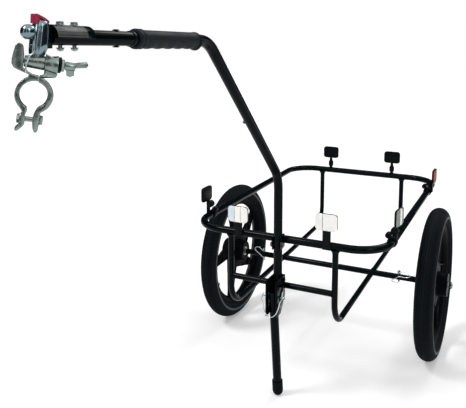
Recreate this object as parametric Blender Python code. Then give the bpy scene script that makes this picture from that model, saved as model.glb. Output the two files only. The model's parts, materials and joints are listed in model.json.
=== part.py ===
"""Two-wheeled bike cargo trailer: a cargo ring on two hoops, an axle with plug-in wheels,
a bent drawbar with a grip and a seat post coupling, and a folding stand.

Everything is drawn in a level frame in metres: the axle runs along X through the origin,
+Y points backward, away from the bike, and +Z points up. One empty then leans the whole
trailer onto its stand and lifts it onto the ground.
"""

import math

import bmesh
import bpy
from mathutils import Matrix, Vector

# Running gaps, seats and the distance at which points are one
SEAT = 0.0003
RUNNING = 0.0004
WELD = 0.00001

# Cargo ring: one closed tube
RING_TUBE = 0.009
RING_HALF_WIDTH = 0.235
RING_HALF_LENGTH = 0.365
RING_HEIGHT = 0.193
RING_CORNER = 0.078

# Hoops that carry the ring on the axle
HOOP_TUBE = 0.007
HOOP_X = 0.129
HOOP_RAIL_HEIGHT = 0.004
HOOP_BEND = 0.058
LEFT_HOOP_SPLAY = 0.010
HOOP_FLARE = 0.0045
HOOP_FLARE_HEIGHT = 0.010

# Axle tube and the crossbar between the front legs
AXLE_TUBE = 0.008
AXLE_BORE = 0.0064
AXLE_HALF_LENGTH = 0.258
CROSSBAR_TUBE = 0.007
CROSSBAR_HEIGHT = 0.0825

# Wheels
WHEEL_RADIUS = 0.200
WHEEL_X = 0.2935
WHEEL_STEPS = 40
TYRE_WIDTH = 0.047
TYRE_WALL = 0.004
TYRE_SPAN = (85, -85)
TYRE_SIDEWALL = ((0.035, 0.0152), (0.027, 0.0196))
TYRE_STEPS = 6
TUBE_STEPS = 4
TYRE_GROOVE_DEPTH = 0.0022
TYRE_GROOVE_HALF_WIDTH = 0.0013
TYRE_GROOVE_PLACE = 0.0085
TYRE_DEPTH = 0.0475
BEAD_SEAT = WHEEL_RADIUS - TYRE_DEPTH
FLANGE_RISE = 0.005
RIM_FLANGE = BEAD_SEAT + FLANGE_RISE
RIM_DEPTH = 0.0130
RIM_OPENING = BEAD_SEAT - RIM_DEPTH
RIM_HALF_WIDTH = 0.0136
RIM_KEEL_HALF_WIDTH = 0.0015
WELL_HALF_WIDTH = 0.0075
RIM_WALL = 0.002
WELL_DEPTH = 0.003
BEAD_HALF_WIDTH = 0.0105
BEAD_TAPER = 0.001
SPOKE_COUNT = 5
SPOKE_ANGLE = math.radians(36)
SPOKE_HALF_DEPTH = 0.0068
SPOKE_WEB = 0.0022
SPOKE_RIB = 0.0032
SPOKE_OUTER_OFFSET = 0.0064
SPOKE_INNER_OFFSET = 0.0055
SPOKE_OUTER = RIM_OPENING - 0.0015
SPOKE_INNER = 0.050
SPOKE_SWEEP = ((0.30, 39.5), (0.35, 28.5), (0.40, 20), (0.50, 11.4), (0.60, 5.8), (0.69, 3.2))
SPOKE_BRACE = 0.100
WINDOW_INNER = 0.053
WINDOW_OUTER = BEAD_SEAT
SPIDER_RADIUS = RIM_OPENING + 0.0091
HUB_RADIUS = 0.030
HUB_FLANGE = 0.050
HUB_HALF_LENGTH = 0.0315
HUB_BORE = 0.0140
STUB_AXLE = 0.006
STUB_INNER = 0.190
STUB_COLLAR = 0.009
HUB_COVER_THICKNESS = 0.0024
AXLE_NUT = 0.0098
AXLE_NUT_LENGTH = 0.0110
VALVE_ANGLE = math.radians(210)
VALVE_STEM = 0.0030
VALVE_TIP = RIM_OPENING - 0.007

# Wheel lock pins through the axle tube
LOCK_X = 0.200
LOCK_PIN = 0.0025
LOCK_PIN_REACH = 0.0135
LOCK_HEAD = 0.0040
BOW_WIRE = 0.0009

# Wire bows as (x from the pin, 0 at the pin head to 1 in front of the tube, height)
RIGHT_BOW = ((0, 0, 0.0145), (0.014, 0, 0.0155), (0.028, 0.8, 0.013), (0.0315, 1, 0.010), (0.026, 1, 0.0065),
             (0.017, 1, 0.0046), (0.0024, 1, 0.0048), (-0.0068, 1, -0.0017), (-0.0145, 1, -0.0065),
             (-0.0174, 0.8, -0.0095), (-0.013, 0, -0.0145), (0, 0, -0.0145))
LEFT_BOW = ((0, 0, 0.0145), (-0.006, 0, 0.0150), (-0.0127, 0.2, 0.0210), (-0.0215, 0.4, 0.0215),
            (-0.0265, 0.8, 0.0160), (-0.0226, 1, 0.0104), (-0.012, 1, 0.003), (-0.0011, 1, -0.0049),
            (0.0055, 1, -0.0095), (0.0065, 0.3, -0.0135), (0, 0, -0.0145))

# Drawbar: one tube with two bends
DRAWBAR_TUBE = 0.010
DRAWBAR_WALL = 0.0016
DRAWBAR_STANDOFF = 0.0205
DRAWBAR_Y = -RING_HALF_LENGTH - DRAWBAR_STANDOFF
DRAWBAR_FOOT = 0.086
DRAWBAR_KNEE = 0.343
DRAWBAR_SHOULDER_Y = DRAWBAR_Y - 0.3261
DRAWBAR_SHOULDER_Z = 0.6518
DRAWBAR_END_Y = DRAWBAR_Y - 0.7095
DRAWBAR_RISE = 0.0304
DRAWBAR_BEND = 0.070

# Grip
GRIP_FRONT = DRAWBAR_Y - 0.5412
GRIP_REAR = DRAWBAR_Y - 0.3696
GRIP_RADIUS = 0.0130
GRIP_FLANGE = 0.0145
GRIP_COLLAR = 0.0165
GRIP_WAVE = 0.0016
GRIP_WAVES = 5
GRIP_FLANGE_LENGTH = 0.016
GRIP_COLLAR_LENGTH = 0.012
GRIP_BOLT_Y = DRAWBAR_Y - 0.5825

# Bolts
BOLT_RADIUS = 0.003
BOLT_HEAD = 0.0058
BOLT_HEAD_HEIGHT = 0.004

# Brackets that hold the drawbar on the ring and on the crossbar
PLATE = 0.003
UPPER_BRACKET_LOW = RING_HEIGHT - 0.019
UPPER_BRACKET_HIGH = RING_HEIGHT + 0.0110
UPPER_BRACKET_FRONT = DRAWBAR_Y - 0.0115
UPPER_BOLT_HEIGHT = RING_HEIGHT - 0.009
LOWER_BRACKET_LOW = 0.028
LOWER_BRACKET_HIGH = 0.112
LOWER_BRACKET_FRONT = DRAWBAR_Y - 0.0410
LOWER_BRACKET_WEB_LOW = 0.064
LOWER_BRACKET_HALF_GAP = 0.0104
LOWER_BOLT_HEIGHT = 0.103

# Folding stand
STAND_TUBE = 0.010
STAND_WALL = 0.0016
STAND_PIVOT_Y = DRAWBAR_Y - 0.0232
STAND_PIVOT_Z = 0.0504
STAND_TOP = 0.084
STAND_LEAN = math.atan(0.1256)
STAND_LENGTH = 0.224
STAND_LOCK_RISE = 0.0215
STAND_LOCK_REACH = 0.0275
STAND_NOTCH = 48
FOOT_RADIUS = 0.0125
FOOT_WALL_HEIGHT = 0.026

# Coupling on the drawbar's front end
SADDLE_FRONT = DRAWBAR_Y - 0.7070
SADDLE_REAR = DRAWBAR_Y - 0.6413
SADDLE_RADIUS = 0.0142
SADDLE_WRAP = 8
COUPLER_BOLT_PLACES = (DRAWBAR_Y - 0.6905, DRAWBAR_Y - 0.6655)
COUPLER_BOLT = 0.0025
COUPLER_BOLT_HEAD = 0.0046
NECK_HALF_WIDTH = 0.0065
NECK_LOW = 0.650
NECK_BEND = 0.668
COUPLING_Y = DRAWBAR_Y - 0.7314
COUPLING_Z = 0.635
COUPLING_LEAN = math.radians(12.5)
COUPLING_YAW = math.radians(44.6)
SOCKET_RADIUS = 0.0096
SOCKET_LOW = 0.0082
SOCKET_HIGH = 0.0420
SOCKET_BORE_TOP = 0.038
STUD_RADIUS = 0.0055
KNOB_RADIUS = 0.008
KNOB_REACH = 0.020
KNOB_HEIGHT = 0.0312
PLUNGER_RADIUS = 0.003
CAP_HALF_WIDTH = 0.0075

# Swivel eye and seat post clamp
EYE_RADIUS = 0.0075
EYE_LEFT = -0.0128
EYE_RIGHT = 0.0095
HITCH_BOLT = 0.003
HITCH_BOLT_LEFT = -0.0255
HITCH_BOLT_RIGHT = 0.040
HITCH_BOLT_HEAD = 0.0055
HITCH_WASHER = 0.0095
HITCH_NUT = 0.009
RIGHT_LUG_START = 0.0098
RIGHT_LUG = 0.0243
WING_START = 0.0316
WING_END = 0.0435
LONG_WING = ((0.0400, -0.0020), (0.0560, 0.0005), (0.0580, 0.0040), (0.0550, 0.0080), (0.0400, 0.0042))
SHORT_WING = ((0.0330, -0.0030), (0.0345, -0.0110), (0.0385, -0.0122), (0.0430, -0.0100), (0.0425, -0.0030))
WING_HALF_THICKNESS = 0.0016
CLAMP_X = 0.0018
CLAMP_DROP = 0.0367
CLAMP_BORE = 0.0158
CLAMP_STRAP = 0.0042
CLAMP_HALF_DEPTH = 0.009
CLAMP_SPLIT = 0.0050
CLAMP_BOLT_DROP = 0.065
CLAMP_EAR = 0.0101

# Reflectors
LENS_WIDTH = 0.047
LENS_HEIGHT = 0.034
LENS_DEPTH = 0.0055
LENS_FACET = 0.0035
REFLECTOR_CORNER = 0.006
HOUSING_DEPTH = 0.005
HOUSING_RIM = 0.0016
FRONT_REFLECTORS = (("front_left", -0.1045, 0.0475), ("front_right", 0.1110, 0.0575))
FRONT_STRAP_HALF_WIDTH = 0.0095
BACK_REFLECTOR_X = (-0.1095, 0.0965)
BACK_REFLECTOR_HEIGHT = RING_HEIGHT + 0.061
POST_RADIUS = 0.005
POST_HEIGHT = 0.027
CUP_RADIUS = 0.0078
CUP_LOW = RING_HEIGHT + 0.015
BAND_RADIUS = 0.0116
BAND_HALF_WIDTH = 0.007
BAND_LUGS = ((-0.0090, 0.0150, 0.0068), (0.005, 0.0265, 0.009))
STEM_OVERLAP = 0.0005

# Side reflectors as (name, side, y, rise over the rail, reach from the rail, turn to the front, colour)
SIDE_REFLECTORS = (("right_rear", 1, 0.209, 0.049, 0.0195, 0, "red"),
                   ("right_front", 1, -0.278, 0.060, 0.0150, 6, "white"),
                   ("left_front", -1, -0.263, 0.0515, 0.0185, 0, "white"))

CENTRE = Vector((0, 0, 0))
X_AXIS = Vector((1, 0, 0))
Y_AXIS = Vector((0, 1, 0))
Z_AXIS = Vector((0, 0, 1))


def clear_scene():
    """Remove every object that is already there."""
    for thing in list(bpy.data.objects):
        bpy.data.objects.remove(thing)


def material(name, colour, roughness, metallic=0.0):
    """One Principled surface with a colour, a roughness and a metallic value."""
    finish = bpy.data.materials.new(name)
    finish.use_nodes = True
    shader = finish.node_tree.nodes["Principled BSDF"]
    shader.inputs["Base Color"].default_value = (*colour, 1)
    shader.inputs["Roughness"].default_value = roughness
    shader.inputs["Metallic"].default_value = metallic
    finish.diffuse_color = (*colour, 1)
    return finish


def placement(origin, along, side=None):
    """Matrix that puts local Z along a direction and local X near a side direction."""
    z = Vector(along).normalized()
    if side is None:
        side = X_AXIS if abs(z.x) < 0.9 else Y_AXIS
    x = (Vector(side) - z * z.dot(Vector(side))).normalized()
    y = z.cross(x)
    turn = Matrix((x, y, z)).transposed().to_4x4()
    return Matrix.Translation(Vector(origin)) @ turn


def finished(shape, place=None):
    """Mesh of a closed form with its faces outward, moved to its place."""
    if place is not None:
        bmesh.ops.transform(shape, matrix=place, verts=shape.verts)
    bmesh.ops.recalc_face_normals(shape, faces=shape.faces)
    mesh = bpy.data.meshes.new("form")
    shape.to_mesh(mesh)
    shape.free()
    return mesh


def bridged(shape, first, second):
    """Join two rings of points with a band of faces."""
    count = len(first)
    for index in range(count):
        after = (index + 1) % count
        shape.faces.new((first[index], first[after], second[after], second[index]))


def turned(profile, place=None, steps=24, closed=False):
    """Revolve (radius, height) points round Z. An open profile is capped at both ends.

    A third value swells the ring toward local +Y only.
    """
    shape = bmesh.new()
    rings = []
    for radius, height, *belly in profile:
        ring = []
        for step in range(steps):
            angle = 2 * math.pi * step / steps
            reach = radius + (belly[0] * max(0, math.sin(angle)) if belly else 0)
            ring.append(shape.verts.new((reach * math.cos(angle), reach * math.sin(angle), height)))
        rings.append(ring)
    for first, second in zip(rings, rings[1:]):
        bridged(shape, first, second)
    if closed:
        bridged(shape, rings[-1], rings[0])
    else:
        shape.faces.new(rings[0])
        shape.faces.new(rings[-1])
    return finished(shape, place)


def rod(start, end, radius, steps=16, bore=0.0):
    """Round bar between two points, or a sleeve when it has a bore."""
    start, end = Vector(start), Vector(end)
    place = placement(start, end - start)
    length = (end - start).length
    if bore:
        profile = [(radius, 0), (radius, length), (bore, length), (bore, 0)]
        return turned(profile, place, steps, closed=True)
    return turned([(radius, 0), (radius, length)], place, steps)


def ball(centre, radius, steps=16):
    """Faceted ball with its poles along Z."""
    shape = bmesh.new()
    bmesh.ops.create_uvsphere(shape, u_segments=steps, v_segments=steps // 2, radius=radius)
    return finished(shape, Matrix.Translation(Vector(centre)))


def box(low, high):
    """Box between two corners."""
    low, high = Vector(low), Vector(high)
    shape = bmesh.new()
    bmesh.ops.create_cube(shape, size=1)
    bmesh.ops.scale(shape, vec=high - low, verts=shape.verts)
    return finished(shape, Matrix.Translation((low + high) / 2))


def extruded(outline, low, high, place=None):
    """Prism of a flat outline between two heights along local Z."""
    shape = bmesh.new()
    floor = [shape.verts.new((a, b, low)) for a, b in outline]
    roof = [shape.verts.new((a, b, high)) for a, b in outline]
    bridged(shape, floor, roof)
    shape.faces.new(floor)
    shape.faces.new(roof)
    return finished(shape, place)


def side_plate(outline, low, high):
    """Prism of a (y, z) outline between two x places."""
    return extruded(outline, low, high, Matrix(((0, 0, 1, 0), (1, 0, 0, 0), (0, 1, 0, 0), (0, 0, 0, 1))))


def front_plate(outline, low, high):
    """Prism of an (x, z) outline between two y places."""
    return extruded(outline, low, high, Matrix(((1, 0, 0, 0), (0, 0, 1, 0), (0, 1, 0, 0), (0, 0, 0, 1))))


def arc(centre, radius, start, end, steps):
    """Points on an arc, angles in degrees."""
    points = []
    for step in range(steps + 1):
        angle = math.radians(start + (end - start) * step / steps)
        points.append((centre[0] + radius * math.cos(angle), centre[1] + radius * math.sin(angle)))
    return points


def rounded_rectangle(width, height, corner, steps=3):
    """Outline of a rectangle with round corners, centred on zero."""
    across, up = width / 2 - corner, height / 2 - corner
    points = []
    for index, (x, y) in enumerate(((across, up), (-across, up), (-across, -up), (across, -up))):
        points += arc((x, y), corner, 90 * index, 90 * index + 90, steps)
    return points


def bent(corners, bend, steps=6, closed=False):
    """Route through corner points with each inner corner bent to one radius."""
    corners = [Vector(corner) for corner in corners]
    route = []
    for index, corner in enumerate(corners):
        if not closed and index in (0, len(corners) - 1):
            route.append(corner)
            continue
        back = (corners[index - 1] - corner).normalized()
        onward = (corners[(index + 1) % len(corners)] - corner).normalized()
        half = back.angle(onward) / 2
        centre = corner + (back + onward).normalized() * bend / math.sin(half)
        spoke = corner + back * bend / math.tan(half) - centre
        axis = back.cross(onward).normalized()
        turn = math.pi - 2 * half
        for step in range(steps + 1):
            route.append(centre + Matrix.Rotation(-turn * step / steps, 3, axis) @ spoke)
    return route


def swept(route, radius, steps=12, bore=0.0, closed=False):
    """Round tube along a route. A bore makes it hollow with open ends."""
    shape = bmesh.new()
    route = [Vector(point) for point in route]
    count = len(route)
    normal = None
    skins = []
    for index, point in enumerate(route):
        before = route[index - 1] if closed or index else point
        after = route[(index + 1) % count] if closed or index < count - 1 else point
        incoming = (point - before).normalized() if point != before else (after - point).normalized()
        outgoing = (after - point).normalized() if point != after else incoming
        tangent = (incoming + outgoing).normalized()
        if normal is None:
            normal = tangent.orthogonal().normalized()
        normal = (normal - tangent * tangent.dot(normal)).normalized()
        side = tangent.cross(normal)
        stretch = 1 / max(0.5, tangent.dot(incoming))
        bend = outgoing - incoming
        rings = []
        for size in (radius, bore) if bore else (radius,):
            ring = []
            for step in range(steps):
                angle = 2 * math.pi * step / steps
                arm = (normal * math.cos(angle) + side * math.sin(angle)) * size
                if bend.length > 1e-6:
                    out = bend.normalized()
                    arm += out * arm.dot(out) * (stretch - 1)
                ring.append(shape.verts.new(point + arm))
            rings.append(ring)
        skins.append(rings)
    for first, second in zip(skins, skins[1:]):
        for outer, inner in zip(first, second):
            bridged(shape, outer, inner)
    if closed:
        bridged(shape, skins[-1][0], skins[0][0])
    elif bore:
        bridged(shape, skins[0][0], skins[0][1])
        bridged(shape, skins[-1][0], skins[-1][1])
    else:
        shape.faces.new(skins[0][0])
        shape.faces.new(skins[-1][0])
    return finished(shape)


def combined(base, others, operation):
    """Mesh of a form joined with or cut by other forms."""
    body = bpy.data.objects.new("body", base)
    bpy.context.collection.objects.link(body)
    helpers = []
    for other in others:
        helper = bpy.data.objects.new("helper", other)
        bpy.context.collection.objects.link(helper)
        change = body.modifiers.new("change", "BOOLEAN")
        change.operation = operation
        change.object = helper
        helpers.append(helper)
    view = bpy.context.evaluated_depsgraph_get()
    result = bpy.data.meshes.new_from_object(body.evaluated_get(view))
    for thing in [body, *helpers]:
        bpy.data.objects.remove(thing)
    shape = bmesh.new()
    shape.from_mesh(result)
    bmesh.ops.remove_doubles(shape, verts=shape.verts, dist=WELD)
    bmesh.ops.dissolve_degenerate(shape, edges=shape.edges, dist=WELD)
    shape.to_mesh(result)
    shape.free()
    return result


def joined(base, *others):
    return combined(base, others, "UNION")


def cut(base, *others):
    return combined(base, others, "DIFFERENCE")


def bolt(head, tip, radius=BOLT_RADIUS, head_radius=BOLT_HEAD):
    """Hexagon bolt from the outside of its head to the outside of its nut."""
    head, tip = Vector(head), Vector(tip)
    height = (tip - head).normalized() * BOLT_HEAD_HEIGHT
    shank = rod(head + height / 2, tip - height / 2, radius, 12)
    return joined(shank, rod(head, head + height, head_radius, 6), rod(tip - height, tip, head_radius, 6))


def cross_bolt(reach, y, z):
    """Bolt along X whose ends lie at equal distances from the middle."""
    return bolt((-reach, y, z), (reach, y, z))


def piece(name, shape, finish, holder, pivot=CENTRE):
    """Named object whose own origin lies at its pivot."""
    pivot = Vector(pivot)
    shape.transform(Matrix.Translation(-pivot))
    shape.shade_smooth()
    shape.set_sharp_from_angle(angle=math.radians(32))
    shape.materials.clear()
    shape.materials.append(finish)
    thing = bpy.data.objects.new(name, shape)
    bpy.context.collection.objects.link(thing)
    thing.parent = holder
    thing.location = pivot
    return thing


def empty(name, holder=None, place=None):
    """Empty that carries other objects."""
    thing = bpy.data.objects.new(name, None)
    bpy.context.collection.objects.link(thing)
    thing.parent = holder
    if place is not None:
        thing.matrix_local = place
    return thing


def ring_route():
    x, y = RING_HALF_WIDTH, RING_HALF_LENGTH
    corners = [(x, y, RING_HEIGHT), (-x, y, RING_HEIGHT), (-x, -y, RING_HEIGHT), (x, -y, RING_HEIGHT)]
    return bent(corners, RING_CORNER, closed=True)


def drawbar_route():
    end_z = DRAWBAR_SHOULDER_Z + DRAWBAR_RISE * (DRAWBAR_SHOULDER_Y - DRAWBAR_END_Y)
    corners = [
        (0, DRAWBAR_Y, DRAWBAR_FOOT),
        (0, DRAWBAR_Y, DRAWBAR_KNEE),
        (0, DRAWBAR_SHOULDER_Y, DRAWBAR_SHOULDER_Z),
        (0, DRAWBAR_END_Y, end_z),
    ]
    return bent(corners, DRAWBAR_BEND)


def drawbar_point(y):
    """Centre of the drawbar's front stretch at one y."""
    return Vector((0, y, DRAWBAR_SHOULDER_Z + DRAWBAR_RISE * (DRAWBAR_SHOULDER_Y - y)))


FRONT_WAY = Vector((0, -1, DRAWBAR_RISE)).normalized()
FRONT_UP = X_AXIS.cross(FRONT_WAY) * -1


def frame_parts(finish, holder):
    """Cargo ring, hoops, axle tube and crossbar."""
    ring = swept(ring_route(), RING_TUBE, 16, closed=True)
    posts = []
    for x in BACK_REFLECTOR_X:
        posts.append(rod((x, RING_HALF_LENGTH, RING_HEIGHT),
                         (x, RING_HALF_LENGTH, RING_HEIGHT + POST_HEIGHT), POST_RADIUS, 12))
    piece("ring_frame", joined(ring, *posts), finish, holder)

    top = RING_HEIGHT - RING_TUBE + HOOP_FLARE
    for name, x, back in (("left_hoop", -HOOP_X, -HOOP_X - LEFT_HOOP_SPLAY), ("right_hoop", HOOP_X, HOOP_X)):
        y = RING_HALF_LENGTH
        corners = [(x, -y, top), (x, -y, HOOP_RAIL_HEIGHT), (back, y, HOOP_RAIL_HEIGHT), (back, y, top)]
        hoop = swept(bent(corners, HOOP_BEND), HOOP_TUBE, 12)
        flares = []
        for across, end in ((x, -y), (back, y)):
            profile = [(HOOP_TUBE - SEAT, -HOOP_FLARE_HEIGHT), (HOOP_TUBE + HOOP_FLARE, HOOP_FLARE)]
            flares.append(turned(profile, Matrix.Translation((across, end, RING_HEIGHT - RING_TUBE)), 12))
        hoop = joined(hoop, *flares)
        keep_out = RING_TUBE + SEAT
        hoop = cut(hoop,
                   rod((x - 0.03, -y, RING_HEIGHT), (x + 0.03, -y, RING_HEIGHT), keep_out, 16),
                   rod((back - 0.03, y, RING_HEIGHT), (back + 0.03, y, RING_HEIGHT), keep_out, 16),
                   rod((x - 0.03, 0, 0), (x + 0.03, 0, 0), AXLE_TUBE + SEAT, 16))
        piece(name, hoop, finish, holder)

    axle = rod((-AXLE_HALF_LENGTH, 0, 0), (AXLE_HALF_LENGTH, 0, 0), AXLE_TUBE, 16, AXLE_BORE)
    drills = []
    for x in (-LOCK_X, LOCK_X):
        drills.append(rod((x, 0, -2 * AXLE_TUBE), (x, 0, 2 * AXLE_TUBE), LOCK_PIN + SEAT, 12))
    piece("axle_tube", cut(axle, *drills), finish, holder)

    reach = HOOP_X
    front = -RING_HALF_LENGTH
    bar = rod((-reach, front, CROSSBAR_HEIGHT), (reach, front, CROSSBAR_HEIGHT), CROSSBAR_TUBE, 12)
    legs = []
    for x in (-HOOP_X, HOOP_X):
        legs.append(rod((x, front, CROSSBAR_HEIGHT - 0.03), (x, front, CROSSBAR_HEIGHT + 0.03),
                        HOOP_TUBE + SEAT, 24))
    piece("lower_crossbar", cut(bar, *legs), finish, holder)


def drawbar_parts(finishes, holder):
    """Drawbar, its two brackets and bolts, and the grip."""
    tube = swept(drawbar_route(), DRAWBAR_TUBE, 14, DRAWBAR_TUBE - DRAWBAR_WALL)
    drills = []
    reach = DRAWBAR_TUBE + 0.004
    for height in (UPPER_BOLT_HEIGHT, LOWER_BOLT_HEIGHT):
        drills.append(rod((-reach, DRAWBAR_Y, height), (reach, DRAWBAR_Y, height), BOLT_RADIUS + SEAT, 12))
    for y in (*COUPLER_BOLT_PLACES, GRIP_BOLT_Y):
        middle = drawbar_point(y)
        drills.append(rod(middle - FRONT_UP * reach, middle + FRONT_UP * reach, COUPLER_BOLT + SEAT, 12))
    piece("drawbar", cut(tube, *drills), finishes["black"], holder)

    rail = rod((-0.03, -RING_HALF_LENGTH, RING_HEIGHT), (0.03, -RING_HALF_LENGTH, RING_HEIGHT),
               RING_TUBE + SEAT, 16)
    inner = DRAWBAR_TUBE + SEAT
    outer = inner + PLATE
    low, high = UPPER_BRACKET_LOW, UPPER_BRACKET_HIGH
    rear = -RING_HALF_LENGTH + 0.005
    outline = [(UPPER_BRACKET_FRONT, low), (rear, low), (rear, high), (UPPER_BRACKET_FRONT, high)]
    cheeks = [side_plate(outline, -outer, -inner), side_plate(outline, inner, outer)]
    strap_low = RING_HEIGHT + RING_TUBE - 0.003
    strap = box((-outer, DRAWBAR_Y + inner, strap_low), (outer, rear, high))
    bracket = cut(joined(strap, *cheeks), rail,
                  rod((-0.03, DRAWBAR_Y, UPPER_BOLT_HEIGHT), (0.03, DRAWBAR_Y, UPPER_BOLT_HEIGHT),
                      BOLT_RADIUS + SEAT, 12))
    piece("drawbar_bracket", bracket, finishes["black"], holder)
    ends = outer + SEAT + BOLT_HEAD_HEIGHT
    piece("drawbar_upper_bolt", cross_bolt(ends, DRAWBAR_Y, UPPER_BOLT_HEIGHT), finishes["zinc"], holder)

    inner = LOWER_BRACKET_HALF_GAP
    outer = inner + PLATE
    front, rear = LOWER_BRACKET_FRONT, -RING_HALF_LENGTH - CROSSBAR_TUBE - SEAT
    low, high = LOWER_BRACKET_LOW, LOWER_BRACKET_HIGH
    slant = (front + rear) / 2
    outline = [(front, low), (slant, low), (rear, LOWER_BRACKET_WEB_LOW), (rear, high), (front, high)]
    cheeks = [side_plate(outline, -outer, -inner), side_plate(outline, inner, outer)]
    web = box((-outer, rear - PLATE, LOWER_BRACKET_WEB_LOW), (outer, rear, high))
    drills = []
    for y, z in ((DRAWBAR_Y, LOWER_BOLT_HEIGHT), (STAND_PIVOT_Y, STAND_PIVOT_Z), stand_lock_place()):
        drills.append(rod((-0.03, y, z), (0.03, y, z), BOLT_RADIUS + SEAT, 12))
    piece("stand_bracket", cut(joined(web, *cheeks), *drills), finishes["black"], holder)
    ends = outer + SEAT + BOLT_HEAD_HEIGHT
    piece("drawbar_lower_bolt", cross_bolt(ends, DRAWBAR_Y, LOWER_BOLT_HEIGHT), finishes["zinc"], holder)
    piece("stand_pivot_bolt", cross_bolt(ends, STAND_PIVOT_Y, STAND_PIVOT_Z), finishes["zinc"], holder)

    grip_parts(finishes, holder)


def grip_parts(finishes, holder):
    """Moulded grip with finger waves below, and the bolt that stops it."""
    front, rear = drawbar_point(GRIP_FRONT), drawbar_point(GRIP_REAR)
    length = (rear - front).length
    flange = GRIP_FLANGE_LENGTH
    outline = [(GRIP_FLANGE - 0.0015, 0), (GRIP_FLANGE, 0.0015),
               (GRIP_FLANGE, flange - 0.001), (GRIP_RADIUS, flange)]
    wave = (length - flange - GRIP_COLLAR_LENGTH) / GRIP_WAVES
    for index in range(GRIP_WAVES):
        start = flange + wave * index
        outline.append((GRIP_RADIUS, start + wave * 0.25, GRIP_WAVE * 0.5))
        outline.append((GRIP_RADIUS, start + wave * 0.5, GRIP_WAVE))
        outline.append((GRIP_RADIUS, start + wave * 0.75, GRIP_WAVE * 0.5))
        outline.append((GRIP_RADIUS, start + wave))
    outline.append((GRIP_RADIUS + 0.0008, length - 0.003, GRIP_COLLAR - GRIP_RADIUS))
    outline.append((GRIP_RADIUS, length, (GRIP_COLLAR - GRIP_RADIUS) / 2))
    bore = DRAWBAR_TUBE + SEAT
    outline += [(bore, length), (bore, 0)]
    piece("grip", turned(outline, placement(front, rear - front, X_AXIS), 18, closed=True),
          finishes["grip"], holder)
    middle = drawbar_point(GRIP_BOLT_Y)
    ends = FRONT_UP * (DRAWBAR_TUBE + SEAT + BOLT_HEAD_HEIGHT)
    stop = bolt(middle + ends, middle - ends, COUPLER_BOLT, COUPLER_BOLT_HEAD)
    piece("grip_bolt", stop, finishes["zinc"], holder)


def stand_lock_place():
    """Where the lock pin crosses the stand leg, as y and z."""
    return (STAND_PIVOT_Y - STAND_LOCK_RISE * math.sin(STAND_LEAN),
            STAND_PIVOT_Z + STAND_LOCK_RISE * math.cos(STAND_LEAN))


def stand_way():
    """Direction down the stand leg."""
    return Vector((0, math.sin(STAND_LEAN), -math.cos(STAND_LEAN)))


def stand_parts(finishes, holder):
    """Leg that folds back under the ring, its foot, the lock pin and the pin's wire bow."""
    pivot = Vector((0, STAND_PIVOT_Y, STAND_PIVOT_Z))
    way = stand_way()
    top = pivot - way * (STAND_TOP - STAND_PIVOT_Z)
    tip = pivot + way * STAND_LENGTH
    leg = rod(top, tip, STAND_TUBE, 16, STAND_TUBE - STAND_WALL)
    across = STAND_TUBE + 0.002
    hole = rod(pivot - X_AXIS * across, pivot + X_AXIS * across, BOLT_RADIUS + SEAT, 12)
    half = BOLT_RADIUS + 2 * SEAT
    notch = arc((0, 0), STAND_LOCK_RISE + half, STAND_NOTCH, 90, 6)
    notch += arc((0, STAND_LOCK_RISE), half, 108, 252, 4)
    notch += arc((0, 0), STAND_LOCK_RISE - half, 90, STAND_NOTCH, 6)
    notch = side_plate(notch, -across, across)
    notch.transform(Matrix.Translation(pivot) @ Matrix.Rotation(STAND_LEAN, 4, "X"))
    leg = cut(leg, hole, notch)
    y, z = stand_lock_place()
    piece("stand_leg", leg, finishes["black"], holder, pivot)

    shoulder = tip - way * FOOT_WALL_HEIGHT
    bore = STAND_TUBE + SEAT
    profile = [(bore, FOOT_WALL_HEIGHT + SEAT), (bore, 0), (FOOT_RADIUS, 0)]
    for angle in (0, 30, 60, 80):
        turn = math.radians(angle)
        profile.append((FOOT_RADIUS * math.cos(turn), FOOT_WALL_HEIGHT + FOOT_RADIUS * math.sin(turn)))
    foot = turned(profile, placement(shoulder, way, X_AXIS), 16)
    lowest = [vertex.co.copy() for vertex in foot.vertices]
    piece("stand_foot", foot, finishes["rubber"], holder, pivot)

    pin = rod((-STAND_LOCK_REACH, y, z), (STAND_LOCK_REACH, y, z), BOLT_RADIUS, 12)
    piece("stand_lock_pin", pin, finishes["chrome"], holder)
    front = LOWER_BRACKET_FRONT - SEAT - BOW_WIRE
    hook = y - BOLT_RADIUS - SEAT - BOW_WIRE
    across = STAND_LOCK_REACH - 0.004
    route = [(-across, hook, z), (-across + 0.001, front, z - 0.004), (-0.019, front, z - 0.010),
             (-0.015, front, 0.041), (-0.0076, front, 0.0306), (0.0022, front, 0.0291),
             (0.0119, front, 0.0371), (0.019, front, z - 0.019), (across - 0.001, front, z - 0.004),
             (across, hook, z)]
    piece("stand_lock_bow", swept(route, BOW_WIRE, 8), finishes["chrome"], holder, (0, hook, z))
    return lowest


def axle_pin_parts(finishes, holder):
    """Pins that lock the wheels in the axle tube, each with a wire bow."""
    for name, way, bow in (("left", -1, LEFT_BOW), ("right", 1, RIGHT_BOW)):
        x = way * LOCK_X
        shank = rod((x, 0, -LOCK_PIN_REACH), (x, 0, LOCK_PIN_REACH), LOCK_PIN, 10)
        head = turned([(LOCK_HEAD - 0.0012, AXLE_TUBE + 2 * SEAT), (LOCK_HEAD, AXLE_TUBE + 0.0022),
                       (LOCK_HEAD, LOCK_PIN_REACH + 0.003), (LOCK_PIN, LOCK_PIN_REACH + 0.0045)],
                      Matrix.Translation((x, 0, 0)), 12)
        piece(f"{name}_axle_pin", joined(shank, head), finishes["chrome"], holder)
        front = -AXLE_TUBE - SEAT - 2 * BOW_WIRE
        hook = -LOCK_HEAD - SEAT - BOW_WIRE
        route = [(x + along, hook + (front - hook) * depth, height) for along, depth, height in bow]
        piece(f"{name}_axle_bow", swept(route, BOW_WIRE, 8), finishes["chrome"], holder, (x, hook, bow[0][2]))


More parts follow.
